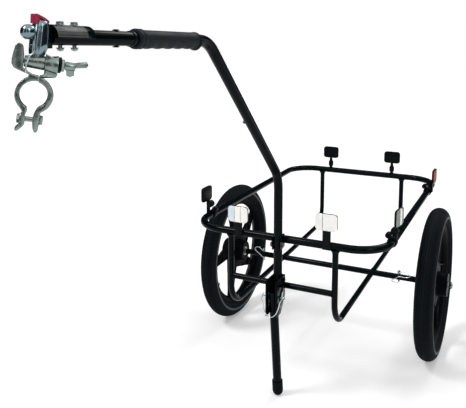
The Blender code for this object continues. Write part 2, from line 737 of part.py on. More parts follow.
def tyre_section(inset, steps):
    """Round crown and narrowing sidewalls shrunk by an inset, from one bead to the other."""
    middle = WHEEL_RADIUS - TYRE_WIDTH / 2
    wall = [(WHEEL_RADIUS - depth, half - inset) for depth, half in TYRE_SIDEWALL]
    crown = arc((middle, 0), TYRE_WIDTH / 2 - inset, *TYRE_SPAN, steps)
    return wall + crown + [(radius, -half) for radius, half in wall[::-1]]


def tyre_profile():
    """Closed section of the tyre with two grooves round its crown."""
    half = TYRE_WIDTH / 2
    outer = tyre_section(0, TYRE_STEPS)
    grooves = []
    for side in (1, -1):
        groove = []
        for edge, deep in ((1, 0), (1, 1), (-1, 1), (-1, 0)):
            place = TYRE_GROOVE_PLACE + edge * TYRE_GROOVE_HALF_WIDTH
            level = WHEEL_RADIUS - half + math.sqrt(half ** 2 - place ** 2)
            groove.append((level - deep * TYRE_GROOVE_DEPTH, side * place))
        grooves.append(groove)
    crown = grooves[0] + [(WHEEL_RADIUS, 0)] + grooves[1][::-1]
    bead = BEAD_SEAT + SEAT
    side = BEAD_HALF_WIDTH - SEAT
    toe = side - TYRE_WALL
    shoulder = (RIM_FLANGE + SEAT, side + BEAD_TAPER)
    left = [shoulder, (bead, side), (bead, toe)]
    right = [(radius, -along) for radius, along in left]
    inner = tyre_section(TYRE_WALL, TUBE_STEPS)[::-1]
    return outer[:5] + crown + outer[6:] + right + inner + left[::-1]


def tube_profile():
    """Closed round section of the inner tube, just inside the tyre."""
    section = tyre_section(TYRE_WALL + RUNNING, TUBE_STEPS)
    return section + [(WHEEL_RADIUS - TYRE_WIDTH + TYRE_WALL + RUNNING, 0)]


def straight_edge(radius):
    """Point on a spoke's straight edge, the spoke lying along local X."""
    along = (radius - SPOKE_INNER) / (SPOKE_OUTER - SPOKE_INNER)
    offset = SPOKE_INNER_OFFSET + (SPOKE_OUTER_OFFSET - SPOKE_INNER_OFFSET) * along
    return Vector((math.sqrt(radius ** 2 - offset ** 2), offset))


def swept_edge(radius, degrees):
    """Point on a spoke's hollow edge."""
    angle = math.radians(-degrees)
    return Vector((radius * math.cos(angle), radius * math.sin(angle)))


def inset(outline, distance):
    """Outline moved inward by a distance, its points running counterclockwise."""
    moved = []
    for index, point in enumerate(outline):
        back = (point - outline[index - 1]).normalized()
        onward = (outline[(index + 1) % len(outline)] - point).normalized()
        first = Vector((-back.y, back.x))
        second = Vector((-onward.y, onward.x))
        middle = (first + second).normalized()
        moved.append(point + middle * distance / middle.dot(first))
    return moved


def rotated(outline, angle):
    turn = Matrix.Rotation(angle, 2)
    return [turn @ Vector(point) for point in outline]


def rim_mesh(first_spoke):
    """Five-spoke wheel: hub, webbed spokes with pockets, and the rim they carry."""
    spoke_pitch = 2 * math.pi / SPOKE_COUNT
    pitch = math.degrees(spoke_pitch)
    window = [straight_edge(SPOKE_OUTER), straight_edge(WINDOW_INNER)]
    window += [swept_edge(share * WHEEL_RADIUS, degrees - pitch) for share, degrees in SPOKE_SWEEP]
    window += arc((0, 0), WINDOW_OUTER, pitch - 3, 3, 5)
    sweep = [swept_edge(share * WHEEL_RADIUS, degrees) for share, degrees in SPOKE_SWEEP]
    brace = SPOKE_RIB / 2
    inner_pocket = sweep[:4] + [straight_edge(SPOKE_BRACE + brace), straight_edge(WINDOW_INNER + 0.002)]
    outer_pocket = sweep[3:] + [straight_edge(SPOKE_OUTER), straight_edge(SPOKE_BRACE - brace)]
    pockets = [inset(inner_pocket, SPOKE_RIB), inset(outer_pocket, SPOKE_RIB)]
    cutters = []
    for index in range(SPOKE_COUNT):
        angle = first_spoke + spoke_pitch * index
        cutters.append(extruded(rotated(window, angle), -2 * SPOKE_HALF_DEPTH, 2 * SPOKE_HALF_DEPTH))
        for pocket in pockets:
            turned_pocket = rotated(pocket, angle)
            cutters.append(extruded(turned_pocket, SPOKE_WEB, 2 * SPOKE_HALF_DEPTH))
            cutters.append(extruded(turned_pocket, -2 * SPOKE_HALF_DEPTH, -SPOKE_WEB))

    face = [(HUB_BORE, HUB_HALF_LENGTH), (HUB_RADIUS - 0.002, HUB_HALF_LENGTH),
            (HUB_RADIUS, HUB_HALF_LENGTH - 0.002), (HUB_RADIUS + 0.002, 0.012),
            (HUB_FLANGE, SPOKE_HALF_DEPTH), (SPIDER_RADIUS, SPOKE_HALF_DEPTH)]
    face += [(radius, -along) for radius, along in face[::-1]]
    spider = turned(face, None, WHEEL_STEPS // 2, closed=True)
    section = [(RIM_OPENING, RIM_KEEL_HALF_WIDTH), (BEAD_SEAT + 0.001, RIM_HALF_WIDTH - 0.0005),
               (RIM_FLANGE - 0.0005, RIM_HALF_WIDTH), (RIM_FLANGE, RIM_HALF_WIDTH - RIM_WALL),
               (BEAD_SEAT, BEAD_HALF_WIDTH), (BEAD_SEAT, WELL_HALF_WIDTH),
               (BEAD_SEAT - WELL_DEPTH, WELL_HALF_WIDTH - 0.001)]
    section += [(radius, -along) for radius, along in section[::-1]]
    ring = turned(section, None, WHEEL_STEPS, closed=True)
    return joined(ring, cut(spider, *cutters))


def wheel_parts(name, side, lean, finishes, holder):
    """Wheel with tyre, tube, bush and hub cover, and the stub axle it turns on."""
    facet = 2 * math.pi / WHEEL_STEPS
    phase = side * ((1.5 * math.pi - lean) % facet - facet / 2) * -1
    axes = Matrix(((0, 0, -side, 0), (-side, 0, 0, 0), (0, 1, 0, 0), (0, 0, 0, 1)))
    centre = Vector((side * WHEEL_X, 0, 0))
    place = Matrix.Translation(centre) @ axes @ Matrix.Rotation(phase, 4, "Z")

    def add(kind, mesh, finish):
        mesh.transform(place)
        piece(f"{name}_{kind}", mesh, finishes[finish], holder, centre)

    valve = Vector((math.cos(VALVE_ANGLE - phase), math.sin(VALVE_ANGLE - phase), 0))
    hole = rod(valve * (RIM_OPENING - 0.01), valve * (BEAD_SEAT + 0.01), VALVE_STEM + RUNNING, 10)
    add("rim", cut(rim_mesh(SPOKE_ANGLE - phase), hole), "wheel")
    add("tyre", turned(tyre_profile(), None, WHEEL_STEPS, closed=True), "tyre")
    tube = turned(tube_profile(), None, WHEEL_STEPS, closed=True)
    stem = rod(valve * VALVE_TIP, valve * (WHEEL_RADIUS - TYRE_WIDTH + 2 * TYRE_WALL), VALVE_STEM, 10)
    add("inner_tube", joined(tube, stem), "rubber")
    bush = rod((0, 0, 0.0005 - HUB_HALF_LENGTH), (0, 0, HUB_HALF_LENGTH - 0.0005), HUB_BORE - SEAT,
               WHEEL_STEPS // 2, STUB_AXLE + RUNNING)
    add("hub_bush", bush, "zinc")
    outer = -HUB_HALF_LENGTH - SEAT
    cover = rod((0, 0, outer - HUB_COVER_THICKNESS), (0, 0, outer), HUB_RADIUS, 24, STUB_AXLE + RUNNING)
    add("hub_cover", cover, "black")

    inner_face = WHEEL_X - HUB_HALF_LENGTH
    outer_face = WHEEL_X + HUB_HALF_LENGTH + SEAT + HUB_COVER_THICKNESS + RUNNING
    shaft = rod((side * STUB_INNER, 0, 0), (side * (outer_face + 0.002), 0, 0), STUB_AXLE, 16)
    collar = rod((side * (AXLE_HALF_LENGTH + SEAT), 0, 0), (side * (inner_face - SEAT), 0, 0),
                 STUB_COLLAR, 16)
    nut = rod((side * outer_face, 0, 0), (side * (outer_face + AXLE_NUT_LENGTH), 0, 0), AXLE_NUT, 6)
    drill = rod((side * LOCK_X, 0, -0.02), (side * LOCK_X, 0, 0.02), LOCK_PIN + SEAT, 12)
    stub = cut(joined(shaft, collar, nut), drill)
    piece(f"{name}_stub_axle", stub, finishes["zinc"], holder, (side * AXLE_HALF_LENGTH, 0, 0))


def coupling_frame():
    """Frame on the swivel axis: local Z up along the axis, local Y backward."""
    return Matrix.Translation((0, COUPLING_Y, COUPLING_Z)) @ Matrix.Rotation(-COUPLING_LEAN, 4, "X")


def coupling_parts(finishes, holder):
    """Saddle on the drawbar's end with the socket, its cap and its lock plunger."""
    front, rear = drawbar_point(SADDLE_FRONT), drawbar_point(SADDLE_REAR)
    outline = arc((0, 0), SADDLE_RADIUS, -SADDLE_WRAP, 180 + SADDLE_WRAP, 12)
    outline += arc((0, 0), DRAWBAR_TUBE + SEAT, 180 + SADDLE_WRAP, -SADDLE_WRAP, 12)
    place = placement(front, rear - front, X_AXIS)
    saddle = extruded([(x, -up) for x, up in outline], 0, (rear - front).length, place)
    top = front.z + SADDLE_RADIUS - 0.0004
    under = front.z + DRAWBAR_TUBE + 0.0015
    face = DRAWBAR_END_Y - 0.0012
    neck_outline = [(SADDLE_FRONT + 0.006, top), (DRAWBAR_END_Y - 0.005, top),
                    (DRAWBAR_END_Y - 0.013, NECK_BEND), (DRAWBAR_END_Y - 0.017, NECK_LOW),
                    (face, NECK_LOW), (face, under), (SADDLE_FRONT + 0.006, under)]
    neck = side_plate(neck_outline, -NECK_HALF_WIDTH, NECK_HALF_WIDTH)
    frame = coupling_frame()
    room = rod((0, 0, -0.02), (0, 0, 0.06), SOCKET_RADIUS + SEAT, 24)
    room.transform(frame)
    drills = []
    for y in COUPLER_BOLT_PLACES:
        middle = drawbar_point(y)
        drills.append(rod(middle, middle + FRONT_UP * 0.03, COUPLER_BOLT + SEAT, 12))
    piece("coupler_body", cut(joined(saddle, neck), room, *drills), finishes["black"], holder)
    for name, y in zip(("front", "rear"), COUPLER_BOLT_PLACES):
        middle = drawbar_point(y)
        head = middle + FRONT_UP * (SADDLE_RADIUS + SEAT + BOLT_HEAD_HEIGHT)
        tip = middle - FRONT_UP * (DRAWBAR_TUBE + SEAT + BOLT_HEAD_HEIGHT)
        stud = bolt(head, tip, COUPLER_BOLT, COUPLER_BOLT_HEAD)
        piece(f"coupler_{name}_bolt", stud, finishes["zinc"], holder)

    hitch = empty("coupling_axis", holder, frame)
    bore = STUD_RADIUS + SEAT
    profile = [(bore, SOCKET_BORE_TOP), (bore, SOCKET_LOW), (SOCKET_RADIUS - 0.0018, SOCKET_LOW),
               (SOCKET_RADIUS - 0.0002, 0.013), (SOCKET_RADIUS, 0.026), (SOCKET_RADIUS - 0.0008, SOCKET_HIGH)]
    drill = rod((0, 0, KNOB_HEIGHT), (0, -0.02, KNOB_HEIGHT), PLUNGER_RADIUS + SEAT, 12)
    piece("hitch_socket", cut(turned(profile, None, 24), drill), finishes["chrome"], hitch)
    low = SOCKET_HIGH + SEAT
    cap = side_plate([(-0.0105, low), (-0.012, 0.0518), (0.004, 0.0495), (0.0075, low)],
                     -CAP_HALF_WIDTH, CAP_HALF_WIDTH)
    piece("socket_cap", cap, finishes["red"], hitch)
    pin = rod((0, -STUD_RADIUS - SEAT, KNOB_HEIGHT), (0, -KNOB_REACH, KNOB_HEIGHT), PLUNGER_RADIUS, 12)
    knob = ball((0, -KNOB_REACH, KNOB_HEIGHT), KNOB_RADIUS, 16)
    piece("lock_plunger", joined(pin, knob), finishes["chrome"], hitch, (0, -KNOB_REACH, KNOB_HEIGHT))
    return hitch


def eye_mesh():
    """Barrel with a cross bore and a stud that turns in the socket."""
    barrel = rod((EYE_LEFT, 0, 0), (EYE_RIGHT, 0, 0), EYE_RADIUS, 20)
    profile = [(STUD_RADIUS, 0.005), (STUD_RADIUS, 0.0065), (EYE_RADIUS - SEAT, 0.0065),
               (EYE_RADIUS - SEAT, SOCKET_LOW - SEAT), (STUD_RADIUS, SOCKET_LOW - SEAT),
               (STUD_RADIUS, SOCKET_BORE_TOP - SEAT)]
    stud = turned(profile, None, 24)
    bore = rod((-0.02, 0, 0), (0.02, 0, 0), HITCH_BOLT + SEAT, 12)
    return cut(joined(barrel, stud), bore)


def clamp_left_outline():
    """Left half of the seat post clamp as (x, z) points: strap, lug, ring and ear."""
    face = CLAMP_SPLIT - SEAT
    centre = (CLAMP_X, -CLAMP_DROP)
    start = math.degrees(math.acos((face - CLAMP_X) / CLAMP_BORE))
    lug = [(face, -0.0146), (-0.0021, -0.0138), (-0.0069, -0.0117), (-0.0095, -0.0092), (-0.0132, -0.0082),
           (-0.0158, 0.0164), (-0.0197, 0.0197), (-0.0238, 0.0163), (-0.0249, 0.0093), (-0.0259, 0.0013),
           (-0.0258, -0.0044), (-0.0233, -0.0086), (-0.0172, -0.0111), (-0.0113, -0.0129),
           (-0.0054, -0.0146), (0.0005, -0.0164)]
    ring = arc(centre, CLAMP_BORE + CLAMP_STRAP, 102, 228, 9)
    ear = [(-0.0092, -0.0565), (-0.0101, -0.0595), (-0.0101, -0.0710), (-0.0124, -0.0760),
           (-0.0086, -0.0770), (-0.0056, -0.0710), (-0.0056, -0.0590), (-0.0040, -0.0554)]
    bore = arc(centre, CLAMP_BORE, 246, start, 11)
    return lug + ring + ear + bore


def clamp_right_outline():
    """Right half of the seat post clamp as (x, z) points."""
    face = CLAMP_SPLIT + SEAT
    centre = (CLAMP_X, -CLAMP_DROP)
    start = math.degrees(math.acos((face - CLAMP_X) / CLAMP_BORE))
    lug = [(face, -0.0146), (RIGHT_LUG_START, -0.0130), (RIGHT_LUG_START, 0.0108),
           (0.0160, 0.0086), (RIGHT_LUG, 0.0062), (RIGHT_LUG, -0.0120),
           (0.0220, -0.0152), (0.0174, -0.0156), (0.0126, -0.0150)]
    ring = arc(centre, CLAMP_BORE + CLAMP_STRAP, 70, -60, 9)
    ear = [(0.0110, -0.0560), (0.0101, -0.0590), (0.0101, -0.0710), (0.0130, -0.0765),
           (0.0095, -0.0774), (0.0058, -0.0710), (0.0058, -0.0580), (0.0065, -0.0545)]
    bore = arc(centre, CLAMP_BORE, -66, start, 10)
    return lug + ring + ear + bore


def clamp_parts(finishes, hitch, lean):
    """Swivel eye and the two clamp halves hanging plumb from it, with their bolts."""
    swivel = empty("swivel_axis", hitch, Matrix.Rotation(COUPLING_YAW, 4, "Z"))
    piece("swivel_eye", eye_mesh(), finishes["zinc"], swivel)
    carried = Matrix.Rotation(lean, 3, "X") @ (coupling_frame() @ swivel.matrix_local).to_3x3()
    gravity = carried.inverted() @ Vector((0, 0, -1))
    plumb = math.atan2(gravity.y, -gravity.z)
    clamp = empty("clamp_axis", swivel, Matrix.Rotation(plumb, 4, "X"))

    deep = CLAMP_HALF_DEPTH
    cross = rod((-0.04, 0, 0), (0.04, 0, 0), HITCH_BOLT + SEAT, 12)
    ears = rod((-0.04, 0, -CLAMP_BOLT_DROP), (0.04, 0, -CLAMP_BOLT_DROP), BOLT_RADIUS + SEAT, 12)
    sink_floor = HITCH_BOLT_LEFT + 0.0035
    sink = rod((-0.04, 0, 0), (sink_floor, 0, 0), HITCH_BOLT_HEAD + 0.0005, 16)
    left = cut(front_plate(clamp_left_outline(), -deep, deep), cross, ears, sink)
    piece("clamp_left", left, finishes["zinc"], clamp)
    boss = turned([(0.0108, RIGHT_LUG_START), (0.008, RIGHT_LUG)], placement(CENTRE, X_AXIS), 20)
    right = cut(joined(front_plate(clamp_right_outline(), -deep, deep), boss), cross, ears)
    piece("clamp_right", right, finishes["zinc"], clamp)
    ends = CLAMP_EAR + SEAT + BOLT_HEAD_HEIGHT
    piece("clamp_bolt", cross_bolt(ends, 0, -CLAMP_BOLT_DROP), finishes["zinc"], clamp)

    head = rod((HITCH_BOLT_LEFT, 0, 0), (sink_floor - SEAT, 0, 0), HITCH_BOLT_HEAD, 12)
    shank = rod((HITCH_BOLT_LEFT + 0.001, 0, 0), (HITCH_BOLT_RIGHT, 0, 0), HITCH_BOLT, 12)
    washer = rod((RIGHT_LUG + SEAT, 0, 0), (RIGHT_LUG + 0.0021, 0, 0), HITCH_WASHER, 16)
    nut = turned([(HITCH_NUT, RIGHT_LUG + 0.0015), (HITCH_NUT - 0.001, WING_START - 0.0004)],
                 placement(CENTRE, X_AXIS), 6)
    piece("hitch_bolt", joined(shank, head, washer, nut), finishes["zinc"], clamp)

    hub = turned([(0.0050, WING_START), (0.0046, WING_END)], placement(CENTRE, X_AXIS), 16)
    thick = WING_HALF_THICKNESS
    wings = [front_plate(outline, -thick, thick) for outline in (LONG_WING, SHORT_WING)]
    bore = rod((0.02, 0, 0), (HITCH_BOLT_RIGHT + 0.0005, 0, 0), HITCH_BOLT + SEAT, 12)
    piece("wing_nut", cut(joined(hub, *wings), bore), finishes["zinc"], clamp)


def lens_mesh():
    """Reflector lens: a rounded block whose front steps back toward its edge."""
    low = SEAT - HOUSING_DEPTH / 2
    shape = bmesh.new()
    rings = []
    for shrink, level in ((0, low), (0, LENS_DEPTH + low - LENS_FACET), (LENS_FACET, LENS_DEPTH + low)):
        width, height = LENS_WIDTH - 2 * shrink, LENS_HEIGHT - 2 * shrink
        outline = rounded_rectangle(width, height, REFLECTOR_CORNER - shrink)
        rings.append([shape.verts.new((x, y, level)) for x, y in outline])
    bridged(shape, rings[0], rings[1])
    bridged(shape, rings[1], rings[2])
    shape.faces.new(rings[0])
    shape.faces.new(rings[2])
    return finished(shape)


def housing_mesh():
    """Shallow tray behind a reflector lens, open toward local Z."""
    grow = 2 * (SEAT + HOUSING_RIM)
    outline = rounded_rectangle(LENS_WIDTH + grow, LENS_HEIGHT + grow, REFLECTOR_CORNER + grow / 2)
    room = rounded_rectangle(LENS_WIDTH + 2 * SEAT, LENS_HEIGHT + 2 * SEAT, REFLECTOR_CORNER + SEAT)
    return cut(extruded(outline, -HOUSING_DEPTH, 0), extruded(room, -HOUSING_DEPTH / 2, HOUSING_DEPTH))


def reflector(name, centre, facing, mounting, colour, finishes, holder):
    """One reflector: a tray joined with its mounting, and the lens in the tray."""
    place = placement(centre, facing, Z_AXIS.cross(facing))
    housing = housing_mesh()
    housing.transform(place)
    piece(f"{name}_housing", joined(housing, *mounting), finishes["plastic"], holder)
    lens = lens_mesh()
    lens.transform(place)
    piece(f"{name}_lens", lens, finishes[f"lens_{colour}"], holder)


def reflector_parts(finishes, holder):
    """White pair in front, red pair behind, and three that face sideways."""
    rail = RING_HALF_LENGTH + RING_TUBE + SEAT
    for name, x, rise in FRONT_REFLECTORS:
        height = RING_HEIGHT + rise
        strap = box((x - FRONT_STRAP_HALF_WIDTH, -rail - 0.0022, RING_HEIGHT - 0.007),
                    (x + FRONT_STRAP_HALF_WIDTH, -rail, height - 0.012))
        centre = (x, -rail - HOUSING_DEPTH, height)
        reflector(name, centre, -Y_AXIS, [strap], "white", finishes, holder)

    for name, x in zip(("back_left", "back_right"), BACK_REFLECTOR_X):
        y = RING_HALF_LENGTH
        post_top = RING_HEIGHT + POST_HEIGHT
        bore = POST_RADIUS + SEAT
        profile = [(bore, post_top + SEAT), (bore, CUP_LOW), (CUP_RADIUS, CUP_LOW),
                   (CUP_RADIUS, post_top + 0.002), (POST_RADIUS, post_top + 0.006),
                   (POST_RADIUS - 0.001, BACK_REFLECTOR_HEIGHT - 0.018)]
        cup = turned(profile, Matrix.Translation((x, y, 0)), 16)
        centre = (x, y + HOUSING_DEPTH / 2, BACK_REFLECTOR_HEIGHT)
        reflector(name, centre, Y_AXIS, [cup], "red", finishes, holder)

    for name, side, y, rise, reach, turn, colour in SIDE_REFLECTORS:
        x = side * RING_HALF_WIDTH
        height = RING_HEIGHT + rise
        near, far = y - BAND_HALF_WIDTH, y + BAND_HALF_WIDTH
        band = rod((x, near, RING_HEIGHT), (x, far, RING_HEIGHT), BAND_RADIUS, 16, RING_TUBE + SEAT)
        low, high = sorted((x + side * (RING_TUBE + SEAT), x + side * (reach - HOUSING_DEPTH + STEM_OVERLAP)))
        mounting = [band, box((low, near + 0.001, RING_HEIGHT), (high, far - 0.001, height - 0.013))]
        for along, lift, radius in BAND_LUGS:
            centre = Vector((x + side * along, 0, RING_HEIGHT + lift))
            mounting.append(rod(centre + Y_AXIS * near, centre + Y_AXIS * far, radius, 12))
        facing = Vector((side * math.cos(math.radians(turn)), -math.sin(math.radians(turn)), 0))
        reflector(name, (x + side * reach, y, height), facing, mounting, colour, finishes, holder)


def lean_onto_stand(foot_points):
    """Angle about the axle at which the foot and the tyres stand on one plane."""
    rest = -WHEEL_RADIUS * math.cos(math.pi / WHEEL_STEPS)
    low, high = 0.0, math.radians(10)
    for _ in range(40):
        middle = (low + high) / 2
        turn = Matrix.Rotation(middle, 3, "X")
        if min((turn @ point).z for point in foot_points) > rest:
            low = middle
        else:
            high = middle
    return low


def stand_on_ground(root):
    """Move the trailer so that it stands on the ground, centred over the origin."""
    bpy.context.view_layer.update()
    corners = []
    for thing in bpy.data.objects:
        if thing.type == "MESH":
            corners += [thing.matrix_world @ vertex.co for vertex in thing.data.vertices]
    middle_y = (min(point.y for point in corners) + max(point.y for point in corners)) / 2
    root.location = (0, root.location.y - middle_y, root.location.z - min(point.z for point in corners))
    bpy.context.view_layer.update()


def build():
    clear_scene()
    finishes = {
        "black": material("black_paint", (0.012, 0.012, 0.013), 0.38),
        "zinc": material("zinc_plated_steel", (0.55, 0.55, 0.56), 0.32, 1.0),
        "chrome": material("chromed_steel", (0.80, 0.80, 0.80), 0.10, 1.0),
        "red": material("red_plastic", (0.55, 0.02, 0.02), 0.35),
        "grip": material("grip_plastic", (0.020, 0.020, 0.021), 0.55),
        "wheel": material("wheel_plastic", (0.022, 0.022, 0.023), 0.45),
        "tyre": material("tyre_rubber", (0.016, 0.016, 0.016), 0.85),
        "rubber": material("foot_rubber", (0.014, 0.014, 0.014), 0.80),
        "plastic": material("housing_plastic", (0.018, 0.018, 0.019), 0.50),
        "lens_white": material("clear_lens", (0.80, 0.80, 0.80), 0.15),
        "lens_red": material("red_lens", (0.60, 0.02, 0.02), 0.15),
    }
    root = empty("trailer")
    frame_parts(finishes["black"], root)
    drawbar_parts(finishes, root)
    foot_points = stand_parts(finishes, root)
    axle_pin_parts(finishes, root)
    lean = lean_onto_stand(foot_points)
    for name, side in (("left", -1), ("right", 1)):
        wheel_parts(name, side, lean, finishes, root)
    hitch = coupling_parts(finishes, root)
    clamp_parts(finishes, hitch, lean)
    reflector_parts(finishes, root)
    root.rotation_euler = (lean, 0, 0)
    stand_on_ground(root)


build()
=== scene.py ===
# %% [markdown]
# # A two-wheeled bike cargo trailer
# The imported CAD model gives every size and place. This lesson dresses it: each tube, tyre, wire and casting
# gets a finer mesh in place of its plain solid, and each surface gets a material made for its real finish.

import json
from functools import partial
from math import acos, atan, atan2, copysign, cos, degrees, hypot, pi, radians, sin, sqrt, tan

import bmesh
import bpy
from mathutils import Matrix, Vector


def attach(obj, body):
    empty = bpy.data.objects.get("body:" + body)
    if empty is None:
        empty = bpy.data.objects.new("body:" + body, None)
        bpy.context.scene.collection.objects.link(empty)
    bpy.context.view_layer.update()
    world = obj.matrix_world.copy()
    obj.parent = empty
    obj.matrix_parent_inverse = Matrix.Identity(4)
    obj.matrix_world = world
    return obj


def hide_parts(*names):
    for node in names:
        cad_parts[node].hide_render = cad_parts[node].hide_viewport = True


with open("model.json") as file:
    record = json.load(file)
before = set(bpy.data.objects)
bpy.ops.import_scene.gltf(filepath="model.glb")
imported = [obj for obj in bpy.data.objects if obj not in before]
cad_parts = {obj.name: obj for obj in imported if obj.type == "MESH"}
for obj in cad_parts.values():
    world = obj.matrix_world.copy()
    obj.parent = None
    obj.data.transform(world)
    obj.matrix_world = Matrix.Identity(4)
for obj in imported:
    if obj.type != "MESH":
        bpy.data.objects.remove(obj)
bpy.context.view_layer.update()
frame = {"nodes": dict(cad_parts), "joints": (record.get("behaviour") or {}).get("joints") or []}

# %% [markdown]
# ## The trailer's own frame
# The trailer leans on its stand, so its tubes aren't level in the scene. It is easier to draw it level,
# with the axle along X through the origin, and to lean every mesh afterwards. The joints hold the lean: the
# wheel's joint gives the axle's place, and the hitch axis, which tilts 12.5 degrees on a level trailer,
# gives the angle.

# %% Level frame, hitch frame and clamp frame
COUPLING_LEAN = radians(12.5)
COUPLING_YAW = radians(44.6)
joints = {joint["name"]: joint for joint in frame["joints"]}
axle_place = Vector(joints["left_wheel_spin"]["pos_m"])
hitch_axis = Vector(joints["hitch_turn"]["axis"])
lean = COUPLING_LEAN - atan2(hitch_axis.y, hitch_axis.z)
TRAILER = Matrix.Translation((0, axle_place.y, axle_place.z)) @ Matrix.Rotation(lean, 4, "X")
HITCH = Matrix.Translation(joints["hitch_turn"]["pos_m"]) @ Matrix.Rotation(lean - COUPLING_LEAN, 4, "X")
SWIVEL = HITCH @ Matrix.Rotation(COUPLING_YAW, 4, "Z")
gravity = SWIVEL.to_3x3().inverted() @ Vector((0, 0, -1))
CLAMP = SWIVEL @ Matrix.Rotation(atan2(gravity.y, -gravity.z), 4, "X")
print("lean in degrees", round(degrees(lean), 3))

# %% [markdown]
# ## Camera
# The camera stands in front and to the right, a little above the drawbar, and looks slightly down. Its
# place and angles were solved from the wheels, the axle and the ring. The picture is cropped below the
# lens's axis, so a vertical shift frames it.

# %% Camera
CAMERA_PLACE = Vector((0.50896, -1.6464, 0.6711))
CAMERA_YAW = radians(26.262)
CAMERA_DIP = radians(7.784)
CAMERA_ROLL = radians(-0.192)
IMAGE_WIDTH = 466
IMAGE_HEIGHT = 408
FOCAL_PIXELS = 618.64
AXIS_ROW = 113.89
SENSOR = 36.0


def linked(name, data):
    """New object in the scene that holds a mesh, a camera or a lamp."""
    made = bpy.data.objects.new(name, data)
    bpy.context.collection.objects.link(made)
    return made


lens = bpy.data.cameras.new("camera")
lens.sensor_width = SENSOR
lens.lens = FOCAL_PIXELS * SENSOR / IMAGE_WIDTH
lens.shift_y = (AXIS_ROW - IMAGE_HEIGHT / 2) / IMAGE_WIDTH
camera = linked("camera", lens)
aim = (Matrix.Rotation(CAMERA_YAW, 4, "Z") @ Matrix.Rotation(pi / 2 - CAMERA_DIP, 4, "X")
       @ Matrix.Rotation(CAMERA_ROLL, 4, "Z"))
camera.matrix_world = TRAILER @ Matrix.Translation(CAMERA_PLACE) @ aim
bpy.context.scene.camera = camera
bpy.context.scene.view_settings.view_transform = "Standard"
print("lens in mm", round(lens.lens, 2), "shift", round(lens.shift_y, 4))

# %% [markdown]
# ## Colours and nodes
# Colours are written as the hex codes that a screen shows, and one function turns them into the linear
# light that shaders need. The others start a material, add a node, and feed a node's sockets.

# %% Helpers for materials


def linear(code):
    """Linear RGBA of an sRGB hex code."""
    shares = [int(code[place:place + 2], 16) / 255 for place in (1, 3, 5)]
    return (*[share / 12.92 if share <= 0.04045 else ((share + 0.055) / 1.055) ** 2.4 for share in shares], 1)


def feed(tree, node, inputs):
    """Give a node's sockets their values, or link them to the sockets that feed them."""
    for name, value in inputs.items():
        if isinstance(value, bpy.types.NodeSocket):
            tree.links.new(value, node.inputs[name])
        else:
            node.inputs[name].default_value = value


def add(tree, kind, inputs, **settings):
    """Add a node with its settings and feed its sockets."""
    made = tree.nodes.new("ShaderNode" + kind)
    for name, value in settings.items():
        setattr(made, name, value)
    feed(tree, made, inputs)
    return made


def started(name):
    """New material, with its node tree and its shader."""
    made = bpy.data.materials.new(name)
    made.use_nodes = True
    return made, made.node_tree, made.node_tree.nodes["Principled BSDF"]


# %% [markdown]
# ## Studio
# A plain white studio. The world shows white to the camera, in reflections and through clear plastic, but
# lights the trailer only as a dim sky. Three suns do the rest, wide enough for soft shadows. The floor is a
# wide pale sheet that keeps the trailer's shadow, and a faint glow for the camera alone brings it close to
# the white behind it.

# %% World, floor and lamps
SKY_LIGHT = 0.50
SKY_COLOUR = "#FFFFFF"
FLOOR_COLOUR = "#F4F4F4"
FLOOR_GLOW = 0.22
FLOOR_REACH = 30
# Lamps as (name, place to shine from, strength, width in degrees)
LAMPS = (("key", (-1.4, -1.6, 2.6), 1.30, 16), ("fill", (2.4, -1.2, 1.8), 0.55, 30),
         ("back", (0.3, 2.2, 2.0), 0.60, 22))


def sheet(name, points, faces, material):
    """Sheet of the studio, from its points and faces."""
    mesh = bpy.data.meshes.new(name)
    mesh.from_pydata(points, [], faces)
    mesh.materials.append(material)
    return linked(name, mesh)


world = bpy.data.worlds.new("studio")
world.use_nodes = True
tree = world.node_tree
rays = add(tree, "LightPath", {}).outputs
seen = add(tree, "Math", {0: rays["Is Camera Ray"], 1: rays["Is Glossy Ray"]}, operation="MAXIMUM")
seen = add(tree, "Math", {0: seen.outputs[0], 1: rays["Is Transmission Ray"]}, operation="MAXIMUM")
level = add(tree, "Mix", {0: seen.outputs[0], 2: SKY_LIGHT, 3: 1.0})
feed(tree, tree.nodes["Background"], {"Color": linear(SKY_COLOUR), "Strength": level.outputs[0]})
bpy.context.scene.world = world

paper, tree, shader = started("white_paper_sweep")
rays = add(tree, "LightPath", {}).outputs
glow = add(tree, "Math", {0: rays["Is Camera Ray"], 1: FLOOR_GLOW}, operation="MULTIPLY")
feed(tree, shader, {"Base Color": linear(FLOOR_COLOUR), "Roughness": 0.9, "Emission Color": linear("#FFFFFF"),
                    "Emission Strength": glow.outputs[0]})
corners = [(x * FLOOR_REACH, y * FLOOR_REACH, 0) for x, y in ((-1, -1), (1, -1), (1, 1), (-1, 1))]
floor = sheet("floor", corners, [(0, 1, 2, 3)], paper)

for name, place, strength, width in LAMPS:
    lamp = bpy.data.lights.new(name, "SUN")
    lamp.energy = strength
    lamp.angle = radians(width)
    holder = linked(name, lamp)
    holder.location = place
    holder.rotation_euler = Vector(place).to_track_quat("Z", "Y").to_euler()
print("lamps", len(LAMPS))

# %% [markdown]
# Polished metal shows only what stands around it, and looks flat in a white room. Photographers put up
# black flags, so that bright edges get dark neighbours. These are curved screens round the trailer with
# white gaps between them. Only reflections show them: they cast no shadow and take no light away.

